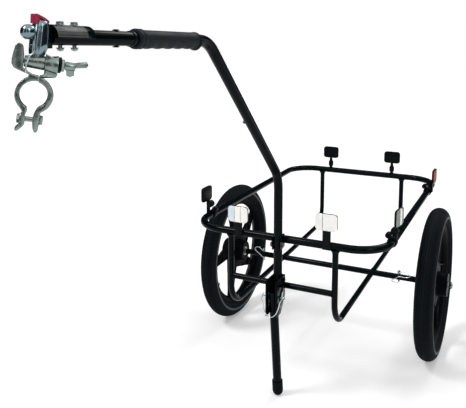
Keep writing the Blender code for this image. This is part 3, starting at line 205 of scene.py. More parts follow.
# %% Black screens for the metal
# Screens as (first azimuth, last azimuth) in degrees, anticlockwise from the trailer's right
SCREENS = ((64, 246), (258, 284), (292, 318), (332, 418))
SCREEN_STEP = 6
SCREEN_REACH = 4.0
SCREEN_HEIGHTS = (0.05, 3.4)
points, faces = [], []
for first, last in SCREENS:
    steps = int((last - first) / SCREEN_STEP) + 1
    for step in range(steps + 1):
        angle = radians(first + (last - first) * step / steps)
        for height in SCREEN_HEIGHTS:
            points.append((SCREEN_REACH * cos(angle), SCREEN_REACH * sin(angle), height))
        if step:
            end = len(points)
            faces.append((end - 4, end - 2, end - 1, end - 3))
felt, tree, shader = started("black_felt")
feed(tree, shader, {"Base Color": linear("#2A3133"), "Roughness": 1.0})
screens = sheet("screens", points, faces, felt)
for ray in ("camera", "diffuse", "shadow", "transmission"):
    setattr(screens, "visible_" + ray, False)
print("screens", len(SCREENS))

# %% [markdown]
# ## Finishes
# The finishes differ in colour and gloss, but all need two things: slow clouds that vary tone and gloss, as
# handling and dust do, and a fine grain that breaks up the highlights. One function lays these down from
# sizes in millimetres. The patterns use object coordinates, so they stay fixed to a piece that moves.

# %% A base for every finish
FINISHES = {}


def finish(name, slot, tones, cloud_mm, gloss, grain_mm, grain_depth_mm, metallic=0.0, ior=1.5, specular=0.5):
    """Material with two tones in clouds, a gloss that follows them and a fine bump.

    Returns what a pattern of its own needs: the node tree, the shader, and the sockets of place and tone.
    """
    made, tree, shader = started(name)
    place = add(tree, "TexCoord", {}).outputs["Object"]
    cloud = add(tree, "TexNoise", {"Vector": place, "Scale": 1000 / cloud_mm, "Detail": 3.0}).outputs["Fac"]
    tone = add(tree, "Mix", {0: cloud, 6: linear(tones[0]), 7: linear(tones[1])}, data_type="RGBA").outputs[2]
    rough = add(tree, "MapRange", {0: cloud, 1: 0.3, 2: 0.7, 3: gloss[0], 4: gloss[1]})
    grain = add(tree, "TexNoise", {"Vector": place, "Scale": 1000 / grain_mm, "Detail": 2.0})
    bump = add(tree, "Bump", {"Height": grain.outputs["Fac"], "Distance": grain_depth_mm / 1000})
    feed(tree, shader, {"Metallic": metallic, "Base Color": tone, "Roughness": rough.outputs[0],
                        "Normal": bump.outputs[0]})
    if not metallic:
        feed(tree, shader, {"IOR": ior, "Specular IOR Level": specular})
    FINISHES[name] = made
    print(name, "in slot", slot)
    return tree, shader, place, tone


# %% [markdown]
# ### Black powder coat
# The tubes are steel under a baked powder coat. It melts into a glossy film with a faint orange peel, lumps
# about two millimetres wide, so the narrow highlights along a tube are slightly broken. The film is very
# dark and reflects little, hence the low specular level.

# %% Black powder coat
PAINT = "black_powder_coat"
finish(PAINT, "black_paint", ("#01080A", "#040C0E"), 60, (0.09, 0.14), 2.0, 0.008, specular=0.07)

# %% [markdown]
# ### Zinc plate, chrome and phosphate
# Bolts, clamp and swivel are zinc-plated steel: grey, a little blue, with cloudy crystals that dull the
# shine. Socket and knob are chromed, and the bows are drawn spring wire, brighter still. The plate on the
# saddle is phosphated, a dull dark grey. All keep the default IOR, and the plated ones have a shallow
# grain, because plating levels out the lines of polishing.

# %% Zinc plate, chrome and phosphate
ZINC, CHROME, WIRE = "zinc_plated_steel", "chromed_steel", "bright_spring_wire"
finish(ZINC, "zinc_plated_steel", ("#78857F", "#A3AFAB"), 7, (0.22, 0.32), 1.5, 0.003, metallic=1.0)
finish(CHROME, "chromed_steel", ("#6B7D86", "#93A4AB"), 9, (0.08, 0.15), 1.2, 0.002, metallic=1.0)
finish(WIRE, "chromed_steel", ("#CDD3D4", "#E2E6E6"), 6, (0.12, 0.20), 1.0, 0.001, metallic=0.7)
finish("grey_phosphated_steel", "zinc_plated_steel", ("#3C423F", "#505652"), 9, (0.40, 0.52), 1.2, 0.01,
       metallic=0.2)

# %% [markdown]
# ### Moulded plastics
# The cap is red polypropylene, the reflector housings are black ABS, and the wheels are glass-filled nylon
# with a fine matt texture from the mould. The grip is a softer vinyl, greyer and duller than the paint.

# %% Moulded plastics
finish("red_polypropylene", "red_plastic", ("#8C1434", "#A82446"), 8, (0.28, 0.38), 0.7, 0.01, ior=1.49)
finish("black_abs", "housing_plastic", ("#05090B", "#080D0F"), 20, (0.30, 0.40), 0.6, 0.012, ior=1.53,
       specular=0.08)
finish("black_glass_filled_nylon", "wheel_plastic", ("#04080A", "#070C0E"), 30, (0.34, 0.46), 0.9, 0.02,
       ior=1.53, specular=0.015)
finish("grey_black_vinyl", "grip_plastic", ("#13191B", "#1C2326"), 25, (0.48, 0.60), 1.1, 0.04, specular=0.14)

# %% [markdown]
# ### Rubbers
# Tyre tread is carbon-black rubber. Its widest band is a painted highlight in light grey, and the grooves
# take the darker rubber of the stand's foot as painted shade. Rubber scatters light widely, so all three are
# rough, with weak highlights.

# %% Rubbers
finish("tyre_rubber", "tyre_rubber", ("#070D0F", "#12191C"), 14, (0.70, 0.86), 1.0, 0.05, ior=1.52,
       specular=0.08)
# A painted highlight: the light grey band round the tyre's widest part
finish("tyre_painted_highlight_band", "tyre_rubber", ("#3C4548", "#525C5F"), 10, (0.5, 0.6), 0.8, 0.02, ior=1.52,
       specular=0.2)
finish("foot_rubber", "foot_rubber", ("#03080A", "#070C0E"), 12, (0.60, 0.74), 0.9, 0.03, ior=1.52,
       specular=0.08)

# %% [markdown]
# ### Reflector lenses
# A lens is clear or red acrylic with thousands of corner prisms on its back. They throw light straight
# back, so a clear lens looks almost white, and a faint emission stands for that light. Outer panels that
# face away get painted light: the front left lens a bluish painted reflection, the right front one a greenish
# painted shade. Flutes and the lines between panels get painted shade. The prisms are a cell pattern,
# 1.6 mm across, a little coarser than real ones so that it shows, under a smooth coat.

# %% Reflector lenses
PRISM_MM = 1.6
RETURNED_LIGHT = 0.16
CLEAR, RED = "clear_acrylic_lens", "red_acrylic_lens"
# Besides the clear and red lens colours, these tones are painted light: a bluish painted reflection and a
# greenish painted shade for outer panels, and painted shade for flutes and panel lines
for name, *tones in ((CLEAR, "#F2F0EA", "#FFFEFA"), ("bluish_painted_reflection", "#C6D6E2", "#DCE8F2"),
                     ("greenish_painted_shade", "#757D74", "#949B91"), ("flute_shadow", "#C6CAC6", "#D4D7D3"),
                     ("panel_line_shade", "#5E6664", "#767D7B"), ("red_flute_shadow", "#4E0E18", "#6B1420"),
                     (RED, "#7A1420", "#B5202E")):
    slot = "red_lens" if name.startswith("red") else "clear_lens"
    tree, shader, place, tone = finish(name, slot, tones, 12, (0.16, 0.24), 3.0, 0.01, ior=1.49)
    cells = add(tree, "TexVoronoi", {"Vector": place, "Scale": 1000 / PRISM_MM, "Randomness": 0.15})
    shade = add(tree, "MapRange", {0: cells.outputs["Distance"], 1: 0.1, 2: 0.8, 3: 1.0, 4: 0.90})
    tinted = add(tree, "Mix", {0: 1.0, 6: tone, 7: shade.outputs[0]}, data_type="RGBA", blend_type="MULTIPLY")
    feed(tree, shader, {"Base Color": tinted.outputs[2], "Coat Weight": 0.6, "Coat Roughness": 0.05})
    if name in (CLEAR, "bluish_painted_reflection", "flute_shadow"):
        feed(tree, shader, {"Emission Color": linear(tones[1]), "Emission Strength": RETURNED_LIGHT})

# %% [markdown]
# ## Helpers for shapes
# Nearly all of the trailer is round bar: tubes swept along a bent route, and parts turned on a lathe. Both
# are rings of points with bands of faces between, and so is a plate, so one function skins them all. The
# outlines of small parts are in millimetres, as on a drawing.

# %% Units, angles and meshes


def mm(*points, along=0.0):
    """Points given in millimetres, in metres, each moved along its last axis."""
    return [(*[value / 1000 for value in point[:-1]], along + point[-1] / 1000) for point in points]


def turns(steps):
    """Angles of one full turn in equal steps."""
    return [2 * pi * step / steps for step in range(steps)]


def freed(shape):
    """Mesh of an edited form, whose working copy is let go."""
    mesh = bpy.data.meshes.new("form")
    shape.to_mesh(mesh)
    shape.free()
    return mesh


def mesh_of(shape, place=None):
    """Mesh of a closed form with its faces outward, moved to its place."""
    if place is not None:
        bmesh.ops.transform(shape, matrix=place, verts=shape.verts)
    bmesh.ops.recalc_face_normals(shape, faces=shape.faces)
    return freed(shape)


# %% Skins over rings, and turned forms


def bridge(shape, first, second):
    """Band of faces between two rings of points."""
    for index in range(len(first)):
        after = (index + 1) % len(first)
        shape.faces.new((first[index], first[after], second[after], second[index]))


def skinned(rings, closed=False, place=None):
    """Form through rings of points, with a cap on each end or closed on itself."""
    shape = bmesh.new()
    rows = [[shape.verts.new(point) for point in ring] for ring in rings]
    for first, second in zip(rows, rows[1:]):
        bridge(shape, first, second)
    if closed:
        bridge(shape, rows[-1], rows[0])
    else:
        shape.faces.new(rows[0])
        shape.faces.new(rows[-1])
    return mesh_of(shape, place)


def turned(profile, steps=48, place=None, closed=False, shape_of=lambda radius, height, angle: radius):
    """Revolve (radius, height) points round Z. shape_of may change the radius from point to point."""
    rings = []
    for radius, height in profile:
        reaches = [(shape_of(radius, height, angle), angle) for angle in turns(steps)]
        rings.append([(reach * cos(angle), reach * sin(angle), height) for reach, angle in reaches])
    return skinned(rings, closed, place)


# %% Sweeps and plates


def swept(route, radius, sides=24, closed=False, bore=0.0, ripple=0.0):
    """Round bar or tube along a route; ripple swells every third ring, as in a weld bead."""
    route = [Vector(point) for point in route]
    count = len(route)
    normal = None
    outer, inner = [], []
    for index, point in enumerate(route):
        before = route[index - 1] if closed or index else point
        after = route[(index + 1) % count] if closed or index < count - 1 else point
        tangent = (after - before).normalized()
        normal = tangent.orthogonal() if normal is None else normal - tangent * tangent.dot(normal)
        normal.normalize()
        side = tangent.cross(normal)
        spokes = [normal * cos(angle) + side * sin(angle) for angle in turns(sides)]
        swell = ripple if index % 3 == 0 else 0
        outer.append([point + spoke * (radius + swell) for spoke in spokes])
        inner.append([point + spoke * bore for spoke in spokes])
    return skinned(outer + inner[::-1], True) if bore else skinned(outer, closed)


def plate(outline, low, high, place=None):
    """Prism of a flat outline between two heights along local Z."""
    return skinned([[(a, b, height) for a, b in outline] for height in (low, high)], place=place)


# %% Places and directions


def axes_along(origin, along, side=None):
    """Matrix that puts local Z along a direction and local X near a side direction."""
    z = Vector(along).normalized()
    if side is None:
        side = (1, 0, 0) if abs(z.x) < 0.9 else (0, 1, 0)
    x = (Vector(side) - z * z.dot(Vector(side))).normalized()
    return Matrix.Translation(Vector(origin)) @ Matrix((x, z.cross(x), z)).transposed().to_4x4()


# Local (a, b, height) of a plate as (y, z, x) and as (x, z, y) of the trailer
FACING_SIDE = Matrix(((0, 0, 1, 0), (1, 0, 0, 0), (0, 1, 0, 0), (0, 0, 0, 1)))
FACING_FRONT = Matrix(((1, 0, 0, 0), (0, 0, 1, 0), (0, 1, 0, 0), (0, 0, 0, 1)))
ALONG_X = axes_along((0, 0, 0), (1, 0, 0))

# %% Routes


def arc(centre, radius, start, end, steps):
    """Points on a flat arc, angles in degrees."""
    angles = [radians(start + (end - start) * step / steps) for step in range(steps + 1)]
    return [(centre[0] + radius * cos(angle), centre[1] + radius * sin(angle)) for angle in angles]


def bent(corners, bend, steps=18, closed=False):
    """Route through corner points with each inner corner bent to one radius."""
    corners = [Vector(corner) for corner in corners]
    route = []
    for index, corner in enumerate(corners):
        if not closed and index in (0, len(corners) - 1):
            route.append(corner)
            continue
        back = (corners[index - 1] - corner).normalized()
        onward = (corners[(index + 1) % len(corners)] - corner).normalized()
        half = back.angle(onward) / 2
        centre = corner + (back + onward).normalized() * bend / sin(half)
        spoke = corner + back * bend / tan(half) - centre
        axis = back.cross(onward).normalized()
        for step in range(steps + 1):
            route.append(centre + Matrix.Rotation(-(pi - 2 * half) * step / steps, 3, axis) @ spoke)
    return route


def flowing(points, steps=8):
    """Smooth route through points, as a springy wire takes."""
    points = [Vector(point) for point in points]
    ends = [points[0] * 2 - points[1], *points, points[-1] * 2 - points[-2]]
    route = []
    for index in range(1, len(ends) - 2):
        a, b, c, d = ends[index - 1:index + 3]
        for t in [step / steps for step in range(steps)]:
            route.append(0.5 * (2 * b + (c - a) * t + (2 * a - 5 * b + 4 * c - d) * t ** 2
                                + (3 * b - a - 3 * c + d) * t ** 3))
    return [*route, points[-1]]


# %% [markdown]
# Punched plates and moulded parts have rounded edges, and slots and windows are cut through them. Bevels
# and booleans do both, and their results are kept as plain meshes. The last functions make a finished
# piece: placed, shaded, with its material and body.

# %% Rounded edges and cuts
WELD = 0.00001
SHARP_ANGLE = 35


def carried_out(mesh, *modifiers):
    """Mesh with a stack of modifiers applied; each is (kind, settings)."""
    holder = linked("holder", mesh)
    for kind, settings in modifiers:
        change = holder.modifiers.new(kind, kind)
        for name, value in settings.items():
            setattr(change, name, value)
    result = bpy.data.meshes.new_from_object(holder.evaluated_get(bpy.context.evaluated_depsgraph_get()))
    bpy.data.objects.remove(holder)
    return result


def eased(mesh, width, segments=2):
    """Mesh with its sharp edges rounded."""
    return carried_out(mesh, ("BEVEL", {"width": width, "segments": segments, "limit_method": "ANGLE",
                                        "angle_limit": radians(SHARP_ANGLE), "use_clamp_overlap": False}))


def cut(mesh, *others):
    """Mesh with other forms cut out of it."""
    helpers = [linked("helper", other) for other in others]
    cuts = [("BOOLEAN", {"operation": "DIFFERENCE", "object": helper}) for helper in helpers]
    result = carried_out(mesh, *cuts)
    for helper in helpers:
        bpy.data.objects.remove(helper)
    return result


def moved(mesh, place):
    """The same mesh, moved to a place."""
    mesh.transform(place)
    return mesh


def merged(*meshes):
    """One mesh that holds several."""
    shape = bmesh.new()
    for mesh in meshes:
        shape.from_mesh(mesh)
    return freed(shape)


# %% Finished pieces


def refined(node, width):
    """Copy of a node's mesh, welded, its flat faces rejoined and its sharp edges rounded."""
    shape = bmesh.new()
    shape.from_mesh(frame["nodes"][node].data)
    bmesh.ops.remove_doubles(shape, verts=shape.verts, dist=WELD)
    bmesh.ops.dissolve_limit(shape, angle_limit=radians(1), verts=shape.verts, edges=shape.edges)
    return eased(freed(shape), width)


def dressed(name, mesh, material, *nodes, body="frame", place=TRAILER, sharp=SHARP_ANGLE):
    """A finished piece: placed, shaded smooth, with its material, body and the nodes it stands for."""
    if place is not None:
        mesh.transform(place)
    mesh.shade_smooth()
    mesh.set_sharp_from_angle(angle=radians(sharp))
    mesh.materials.clear()
    mesh.materials.append(FINISHES[material])
    made = linked(name, mesh)
    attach(made, body)
    if nodes:
        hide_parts(*nodes)
    print(name, len(mesh.polygons), "faces")
    return made


def copied(name, node, width, material, body="frame"):
    """Finished piece made of a node's own shape."""
    return dressed(name, refined(node, width), material, node, body=body, place=None)


def second_finish(made, material, place, chosen):
    """Another finish for the faces whose middle, in the piece's own axes, is chosen."""
    made.data.materials.append(FINISHES[material])
    home = place.inverted()
    for face in made.data.polygons:
        if chosen(home @ face.center):
            face.material_index = len(made.data.materials) - 1


# %% [markdown]
# ## Cargo ring
# The ring is one steel tube, bent at four corners and butt-welded at the back, where a low bead shows. It
# could be a curve with a round bevel, but a swept mesh gives real faces. Two stub posts stand on
# the back rail for the rear reflectors, each in a small rippled weld bead.

# %% Ring, posts and beads
RING_TUBE = 0.009
RING_HALF_WIDTH = 0.235
RING_HALF_LENGTH = 0.365
RING_HEIGHT = 0.193
RING_CORNER = 0.078
POST_RADIUS = 0.005
POST_HEIGHT = 0.027
BACK_REFLECTOR_X = (-0.1095, 0.0965)
SEAM_X = -0.006
BEAD, SMALL_BEAD, SEAM_BEAD = 0.0013, 0.0010, 0.0009
# How far a bead's centre lies off the skin of its bar, and the share of its radius that it ripples
BEAD_SHIFT = 0.0004
BEAD_RIPPLE = 0.18
BEAD_STEPS, BEAD_SIDES = 48, 10


def ring_bead(centre, along, radius, wire=BEAD):
    """Rippled weld round a bar."""
    place = axes_along(centre, along)
    ring = arc((0, 0), radius, 0, 360 - 360 / BEAD_STEPS, BEAD_STEPS - 1)
    route = [place @ Vector((*point, 0)) for point in ring]
    return swept(route, wire, BEAD_SIDES, closed=True, ripple=wire * BEAD_RIPPLE)


def saddle_bead(centre, post, rail, wire=BEAD):
    """Rippled weld where a post of one radius stands on a rail of another along X."""
    route = []
    for angle in turns(BEAD_STEPS):
        across = post * sin(angle)
        route.append(centre + Vector((post * cos(angle), across, sqrt(rail ** 2 - across ** 2))))
    return swept(route, wire, BEAD_SIDES, closed=True, ripple=wire * BEAD_RIPPLE)


x, y = RING_HALF_WIDTH, RING_HALF_LENGTH
corners = [(x, y, RING_HEIGHT), (-x, y, RING_HEIGHT), (-x, -y, RING_HEIGHT), (x, -y, RING_HEIGHT)]
forms = [swept(bent(corners, RING_CORNER, closed=True), RING_TUBE, 32, closed=True),
         ring_bead((SEAM_X, y, RING_HEIGHT), (1, 0, 0), RING_TUBE - BEAD_SHIFT, SEAM_BEAD)]
for x in BACK_REFLECTOR_X:
    base = Vector((x, y, RING_HEIGHT))
    forms.append(swept([base, base + Vector((0, 0, POST_HEIGHT))], POST_RADIUS))
    forms.append(saddle_bead(base, POST_RADIUS + BEAD_SHIFT, RING_TUBE, SMALL_BEAD))
dressed("cargo_ring", merged(*forms), PAINT, "ring_frame")

# %% [markdown]
# ## Hoops, axle tube and crossbar
# Each hoop is a U of thinner tube under the ring. Its legs swell where they are welded to the rail, and its
# bottom run is welded to the axle tube. The hoops are swept, and the swollen ends are turned forms that run
# into the rail.

# %% Hoops
HOOP_TUBE = 0.007
HOOP_X = 0.129
HOOP_RAIL_HEIGHT = 0.004
HOOP_BEND = 0.058
HOOP_SINK = 0.002
LEFT_HOOP_SPLAY = 0.010
FLARE = 0.0045
FLARE_HEIGHT = 0.010
FLARE_LIP = 0.001
FLARE_STEPS = 8
AXLE_TUBE = 0.008
AXLE_BORE = 0.0064
AXLE_HALF_LENGTH = 0.258

shares = [step / FLARE_STEPS for step in range(FLARE_STEPS + 1)]
flare = [(HOOP_TUBE + FLARE * share ** 2, -FLARE_HEIGHT + (FLARE_HEIGHT + FLARE_LIP) * share)
         for share in shares]
flare.append((HOOP_TUBE + FLARE - FLARE_LIP, FLARE))
top = RING_HEIGHT - RING_TUBE + HOOP_SINK
for name, x, back in (("left_hoop", -HOOP_X, -HOOP_X - LEFT_HOOP_SPLAY), ("right_hoop", HOOP_X, HOOP_X)):
    y, low = RING_HALF_LENGTH, HOOP_RAIL_HEIGHT
    corners = [(x, -y, top), (x, -y, low), (back, y, low), (back, y, top)]
    forms = [swept(bent(corners, HOOP_BEND), HOOP_TUBE, 28)]
    for across, end in ((x, -y), (back, y)):
        forms.append(turned(flare, 32, Matrix.Translation((across, end, RING_HEIGHT - RING_TUBE))))
    for side in (-1, 1):
        centre = ((x + back) / 2, side * (AXLE_TUBE + BEAD_SHIFT), low)
        forms.append(ring_bead(centre, (0, 1, 0), HOOP_TUBE, SMALL_BEAD))
    dressed(name + "_tube", merged(*forms), PAINT, name)

# %% Axle tube and crossbar
CROSSBAR_TUBE = 0.007
CROSSBAR_HEIGHT = 0.0825
CROSSBAR_SINK = 0.001
TUBE_EDGE = 0.0004
ends = [(side * AXLE_HALF_LENGTH, 0, 0) for side in (-1, 1)]
dressed("axle_sleeve", eased(swept(ends, AXLE_TUBE, 32, bore=AXLE_BORE), TUBE_EDGE), PAINT, "axle_tube")
reach = HOOP_X - HOOP_TUBE + CROSSBAR_SINK
ends = [(side * reach, -RING_HALF_LENGTH, CROSSBAR_HEIGHT) for side in (-1, 1)]
beads = [ring_bead(end, (1, 0, 0), CROSSBAR_TUBE) for end in ends]
dressed("front_crossbar", merged(swept(ends, CROSSBAR_TUBE, 28), *beads), PAINT, "lower_crossbar")

# %% [markdown]
# ## Drawbar
# One thick tube rises from the crossbar, slants forward over the ring and runs level to the coupling. Its
# bends are wide and without kinks, so the route has 18 points in each. The open ends show the wall, and a
# sprung button sits in the slanting run.

# %% Drawbar tube
DRAWBAR_TUBE = 0.010
TUBE_WALL = 0.0016
DRAWBAR_Y = -0.3855
DRAWBAR_FOOT = 0.086
DRAWBAR_KNEE = 0.343
DRAWBAR_SHOULDER_Y = DRAWBAR_Y - 0.3261
DRAWBAR_SHOULDER_Z = 0.6518
DRAWBAR_END_Y = DRAWBAR_Y - 0.7095
DRAWBAR_RISE = 0.0304
DRAWBAR_BEND = 0.070
BUTTON_PLACE = (-0.0085, -0.545, 0.488)
FRONT_WAY = Vector((0, -1, DRAWBAR_RISE)).normalized()
FRONT_UP = Vector((0, DRAWBAR_RISE, 1)).normalized()


def drawbar_point(y):
    """Centre of the drawbar's front run at one y."""
    return Vector((0, y, DRAWBAR_SHOULDER_Z + DRAWBAR_RISE * (DRAWBAR_SHOULDER_Y - y)))


corners = [(0, DRAWBAR_Y, DRAWBAR_FOOT), (0, DRAWBAR_Y, DRAWBAR_KNEE), drawbar_point(DRAWBAR_SHOULDER_Y),
           drawbar_point(DRAWBAR_END_Y)]
tube = swept(bent(corners, DRAWBAR_BEND), DRAWBAR_TUBE, 32, bore=DRAWBAR_TUBE - TUBE_WALL)
dressed("drawbar_tube", eased(tube, TUBE_EDGE), PAINT, "drawbar")
button = mm((3.4, 0), (3.3, 2.4), (2.6, 3.6), (1.4, 4.2), (0.4, 4.4))
dressed("drawbar_button", turned(button, 20, axes_along(BUTTON_PLACE, (-1, 0, 0))), CHROME)

# %% [markdown]
# ## Brackets and cross bolts
# Folded 3 mm plates hold the drawbar on the ring and on the crossbar, and the lower one also carries the
# stand. Each is a copy of its node with rounded edges, as a punched and coated plate has, and the upper
# one's cheeks are drawn in to hug the tube. The bolts are hexagon bolts with washers: a turned form with
# six sides makes a hexagon.

# %% Brackets
PLATE_EDGE = 0.0006
# Shares of its width that the upper bracket keeps beyond the tube, and behind it
CHEEK_SHARE = 0.15
TAIL_SHARE = 0.5
slim = refined("drawbar_bracket", PLATE_EDGE)
behind = (TRAILER @ Vector((0, DRAWBAR_Y + DRAWBAR_TUBE / 2, RING_HEIGHT))).y
for vertex in slim.vertices:
    beyond = abs(vertex.co.x) - DRAWBAR_TUBE
    if vertex.co.y > behind:
        vertex.co.x *= TAIL_SHARE
    elif beyond > 0:
        vertex.co.x = copysign(DRAWBAR_TUBE + beyond * CHEEK_SHARE, vertex.co.x)
dressed("ring_bracket_plates", slim, PAINT, "drawbar_bracket", place=None)
copied("stand_bracket_plates", "stand_bracket", PLATE_EDGE, PAINT)

# %% Bolts
BOLT_RADIUS = 0.003
BOLT_HEAD = 0.0058
HEAD_HEIGHT = 0.004
# A head starts inside its washer, so that no gap shows
WASHER = 0.0006
HEAD_START = 0.0005
# Domed nut and washer as (share of the head's radius, height)
DOME = ((0.93, 0), (0.95, 0.0012), (0.86, 0.0022), (0.62, 0.0032), (0.3, 0.0038))
WASHER_RIM = ((1.12, 0), (1.15, 0.0002), (1.12, WASHER))


def hex_form(height, radius, chamfer=0.0006):
    """Hexagon with chamfered corners and a low dome, from zero up to its height."""
    return turned([(radius - 0.0002, 0), (radius, 0.0003), (radius, height - chamfer),
                   (radius - chamfer, height - 0.0002), (radius * 0.55, height)], 6)


def thread(radius, length, pitch=0.0008, depth=0.0003):
    """Threaded end: a stack of fine crests with a chamfered tip."""
    profile = []
    for index in range(int(length / pitch)):
        profile += [(radius - depth, index * pitch), (radius, (index + 0.5) * pitch)]
    return turned([*profile, (radius - depth, length - 0.0002), (radius - 0.0008, length)], 24)


def bolt(head, tip, radius, head_radius, head_height=HEAD_HEIGHT, dome=False):
    """Bolt between two outer ends, with a hexagon head, a nut that can be a domed one, and two washers."""
    head, tip = Vector(head), Vector(tip)
    along = (tip - head).normalized()
    forms = [swept([head + along * head_height / 2, tip - along * head_height / 2], radius, 20)]
    for end, way in ((head, -along), (tip, along)):
        base = end - way * head_height
        part = hex_form(head_height - WASHER, head_radius)
        if dome and end is tip:
            profile = [(head_radius * share, height) for share, height in DOME]
            part = turned([*profile, (0.0003, HEAD_HEIGHT)], 24)
        washer = [(head_radius * share, height) for share, height in WASHER_RIM]
        forms.append(moved(part, axes_along(base + way * HEAD_START, way)))
        forms.append(turned(washer, 28, axes_along(base, way)))
    return merged(*forms)


# %% Three cross bolts
# Clearance between pieces that fit together
SEAT = 0.0003
BRACKET_PLATE = 0.003
STAND_BRACKET_HALF = 0.0134
STAND_PIVOT_Y = DRAWBAR_Y - 0.0232
STAND_PIVOT_Z = 0.0504
LOWER_REACH = STAND_BRACKET_HALF + SEAT + HEAD_HEIGHT
UPPER_REACH = DRAWBAR_TUBE + BRACKET_PLATE + 2 * SEAT + HEAD_HEIGHT
for name, node, left, right, y, z, material in (
        ("ring_bracket_bolt", "drawbar_upper_bolt", UPPER_REACH + 0.001, UPPER_REACH - 0.0065, DRAWBAR_Y,
         RING_HEIGHT - 0.009, ZINC),
        ("drawbar_foot_bolt", "drawbar_lower_bolt", LOWER_REACH, LOWER_REACH, DRAWBAR_Y, 0.103, PAINT),
        ("stand_pivot", "stand_pivot_bolt", LOWER_REACH, LOWER_REACH, STAND_PIVOT_Y, STAND_PIVOT_Z, ZINC)):
    made = dressed(name, bolt((-left, y, z), (right, y, z), BOLT_RADIUS, BOLT_HEAD), material, node)
    # The nut end of this bolt, on the right, takes the black powder coat
    if name == "ring_bracket_bolt":
        second_finish(made, PAINT, TRAILER, lambda middle: middle.x > 0)

# %% [markdown]
# ## Grip
# The grip is moulded vinyl, pushed over the tube: a stepped flange in front, five shallow finger waves
# below, a parting line along each side and a thicker, darker collar behind. It is turned, with the radius
# changed by angle: the waves swell only the underside, and the collar droops in the same way.

# %% Grip
GRIP_RADIUS = 0.0130
GRIP_WAVE = 0.0012
GRIP_WAVES = 5
FLANGE_END = 0.016
COLLAR_START = 0.012
COLLAR_DROOP = 0.0035
PARTING_LINE = 0.0003
GRIP_FRONT = DRAWBAR_Y - 0.5412
GRIP_REAR = DRAWBAR_Y - 0.3696

front, rear = drawbar_point(GRIP_FRONT), drawbar_point(GRIP_REAR)
grip_length = (rear - front).length
wavy_length = grip_length - FLANGE_END - COLLAR_START


def grip_radius(radius, height, angle):
    """Radius of the grip: local +Y, at an angle of 90 degrees, points down."""
    if radius < DRAWBAR_TUBE + 0.001:
        return radius
    under = max(0, sin(angle))
    waves = FLANGE_END < height < grip_length - COLLAR_START
    wave = sin(pi * ((height - FLANGE_END) * GRIP_WAVES / wavy_length % 1)) ** 2 if waves else 0
    collar = max(0, 1 - (grip_length - height) / COLLAR_START) if height < grip_length - 0.001 else 0.5
    line = PARTING_LINE if abs(cos(angle)) > 0.996 else 0
    return radius + under * (GRIP_WAVE * wave + COLLAR_DROOP * collar) + line


outline = mm((12, 0), (14, 0.8), (14.5, 2), (14.5, 5.2), (13.6, 6.6), (13.6, 8.6), (14.5, 10), (14.5, 13.6),
             (13.8, 15.2), (13, 16))
outline += [(GRIP_RADIUS, FLANGE_END + wavy_length * step / 60) for step in range(1, 60)]
outline += mm((13.1, -12), (13.6, -8), (13.8, -3.5), (13.4, -1.2), (12.4, 0), (10.3, 0), along=grip_length)
outline += mm((10.3, 0))
grip_place = axes_along(front, rear - front, (1, 0, 0))
grip = turned(outline, 96, grip_place, closed=True, shape_of=grip_radius)
grip = dressed("finger_grip", grip, "grey_black_vinyl", "grip")
collar_edge = grip_length - COLLAR_START * 0.8
second_finish(grip, "foot_rubber", TRAILER @ grip_place, lambda middle: middle.z > collar_edge)
print("grip length in mm", round(grip_length * 1000))

# %% Small bolt and collar in front of the grip
COUPLER_BOLT = 0.0025
COUPLER_BOLT_HEAD = 0.0046
STOP_BOLT_Y = DRAWBAR_Y - 0.5825
STOP_HEAD_HEIGHT = 0.002
FRONT_RING_Y = GRIP_FRONT - 0.0093
middle = drawbar_point(STOP_BOLT_Y)
stop = FRONT_UP * (DRAWBAR_TUBE + SEAT + STOP_HEAD_HEIGHT)
low_bolt = bolt(middle + stop, middle - stop, COUPLER_BOLT, COUPLER_BOLT_HEAD, STOP_HEAD_HEIGHT)
dressed("grip_stop_bolt", low_bolt, PAINT, "grip_bolt")
collar = turned(mm((9.8, -2.2), (11.2, -1.6), (11.2, 1.6), (9.8, 2.2)), 40,
                axes_along(drawbar_point(FRONT_RING_Y), FRONT_WAY))
dressed("grip_front_ring", collar, "black_abs")

# %% [markdown]
# ## Folding stand
# The stand is a straight tube on a pivot bolt between the cheeks of its bracket. A slot at its top lets it
# fold back past the lock pin, so the slot is really cut through. The rubber foot is turned, with three grip
# rings. The lock pin is held by a springy wire bow that snaps in front of the leg.

# %% Stand leg and foot
STAND_TUBE = 0.010
STAND_TOP = 0.084
STAND_LEAN = atan(0.1256)
STAND_LENGTH = 0.224
LOCK_RISE = 0.0215
NOTCH_END = 48
FOOT_RADIUS = 0.0125
FOOT_WALL = 0.026

pivot = Vector((0, STAND_PIVOT_Y, STAND_PIVOT_Z))
way = Vector((0, sin(STAND_LEAN), -cos(STAND_LEAN)))
leg_tip = pivot + way * STAND_LENGTH
leg = swept([pivot - way * (STAND_TOP - STAND_PIVOT_Z), leg_tip], STAND_TUBE, 40, bore=STAND_TUBE - TUBE_WALL)
half = BOLT_RADIUS + 2 * SEAT
notch = [*arc((0, 0), LOCK_RISE + half, NOTCH_END, 90, 12), *arc((0, LOCK_RISE), half, 100, 260, 10),
         *arc((0, 0), LOCK_RISE - half, 90, NOTCH_END, 12)]
notch_place = Matrix.Translation(pivot) @ Matrix.Rotation(STAND_LEAN, 4, "X") @ FACING_SIDE
across = Vector((0.012, 0, 0))
leg = cut(leg, plate(notch, -across.x, across.x, notch_place),
          swept([pivot - across, pivot + across], BOLT_RADIUS + SEAT))
dressed("stand_tube", leg, PAINT, "stand_leg", body="stand")

foot = mm((10.3, 26.3), (10.3, 0), (11.9, 0), (12.5, 0.8))
for height in (6, 11, 16):
    foot += mm((12.5, height - 0.8), (11.9, height), (12.5, height + 0.8))
foot += arc((0, FOOT_WALL), FOOT_RADIUS, 0, 80, 10)
foot = turned(foot, 48, axes_along(leg_tip - way * FOOT_WALL, way, (1, 0, 0)))
dressed("stand_rubber_foot", foot, "foot_rubber", "stand_foot", body="stand")

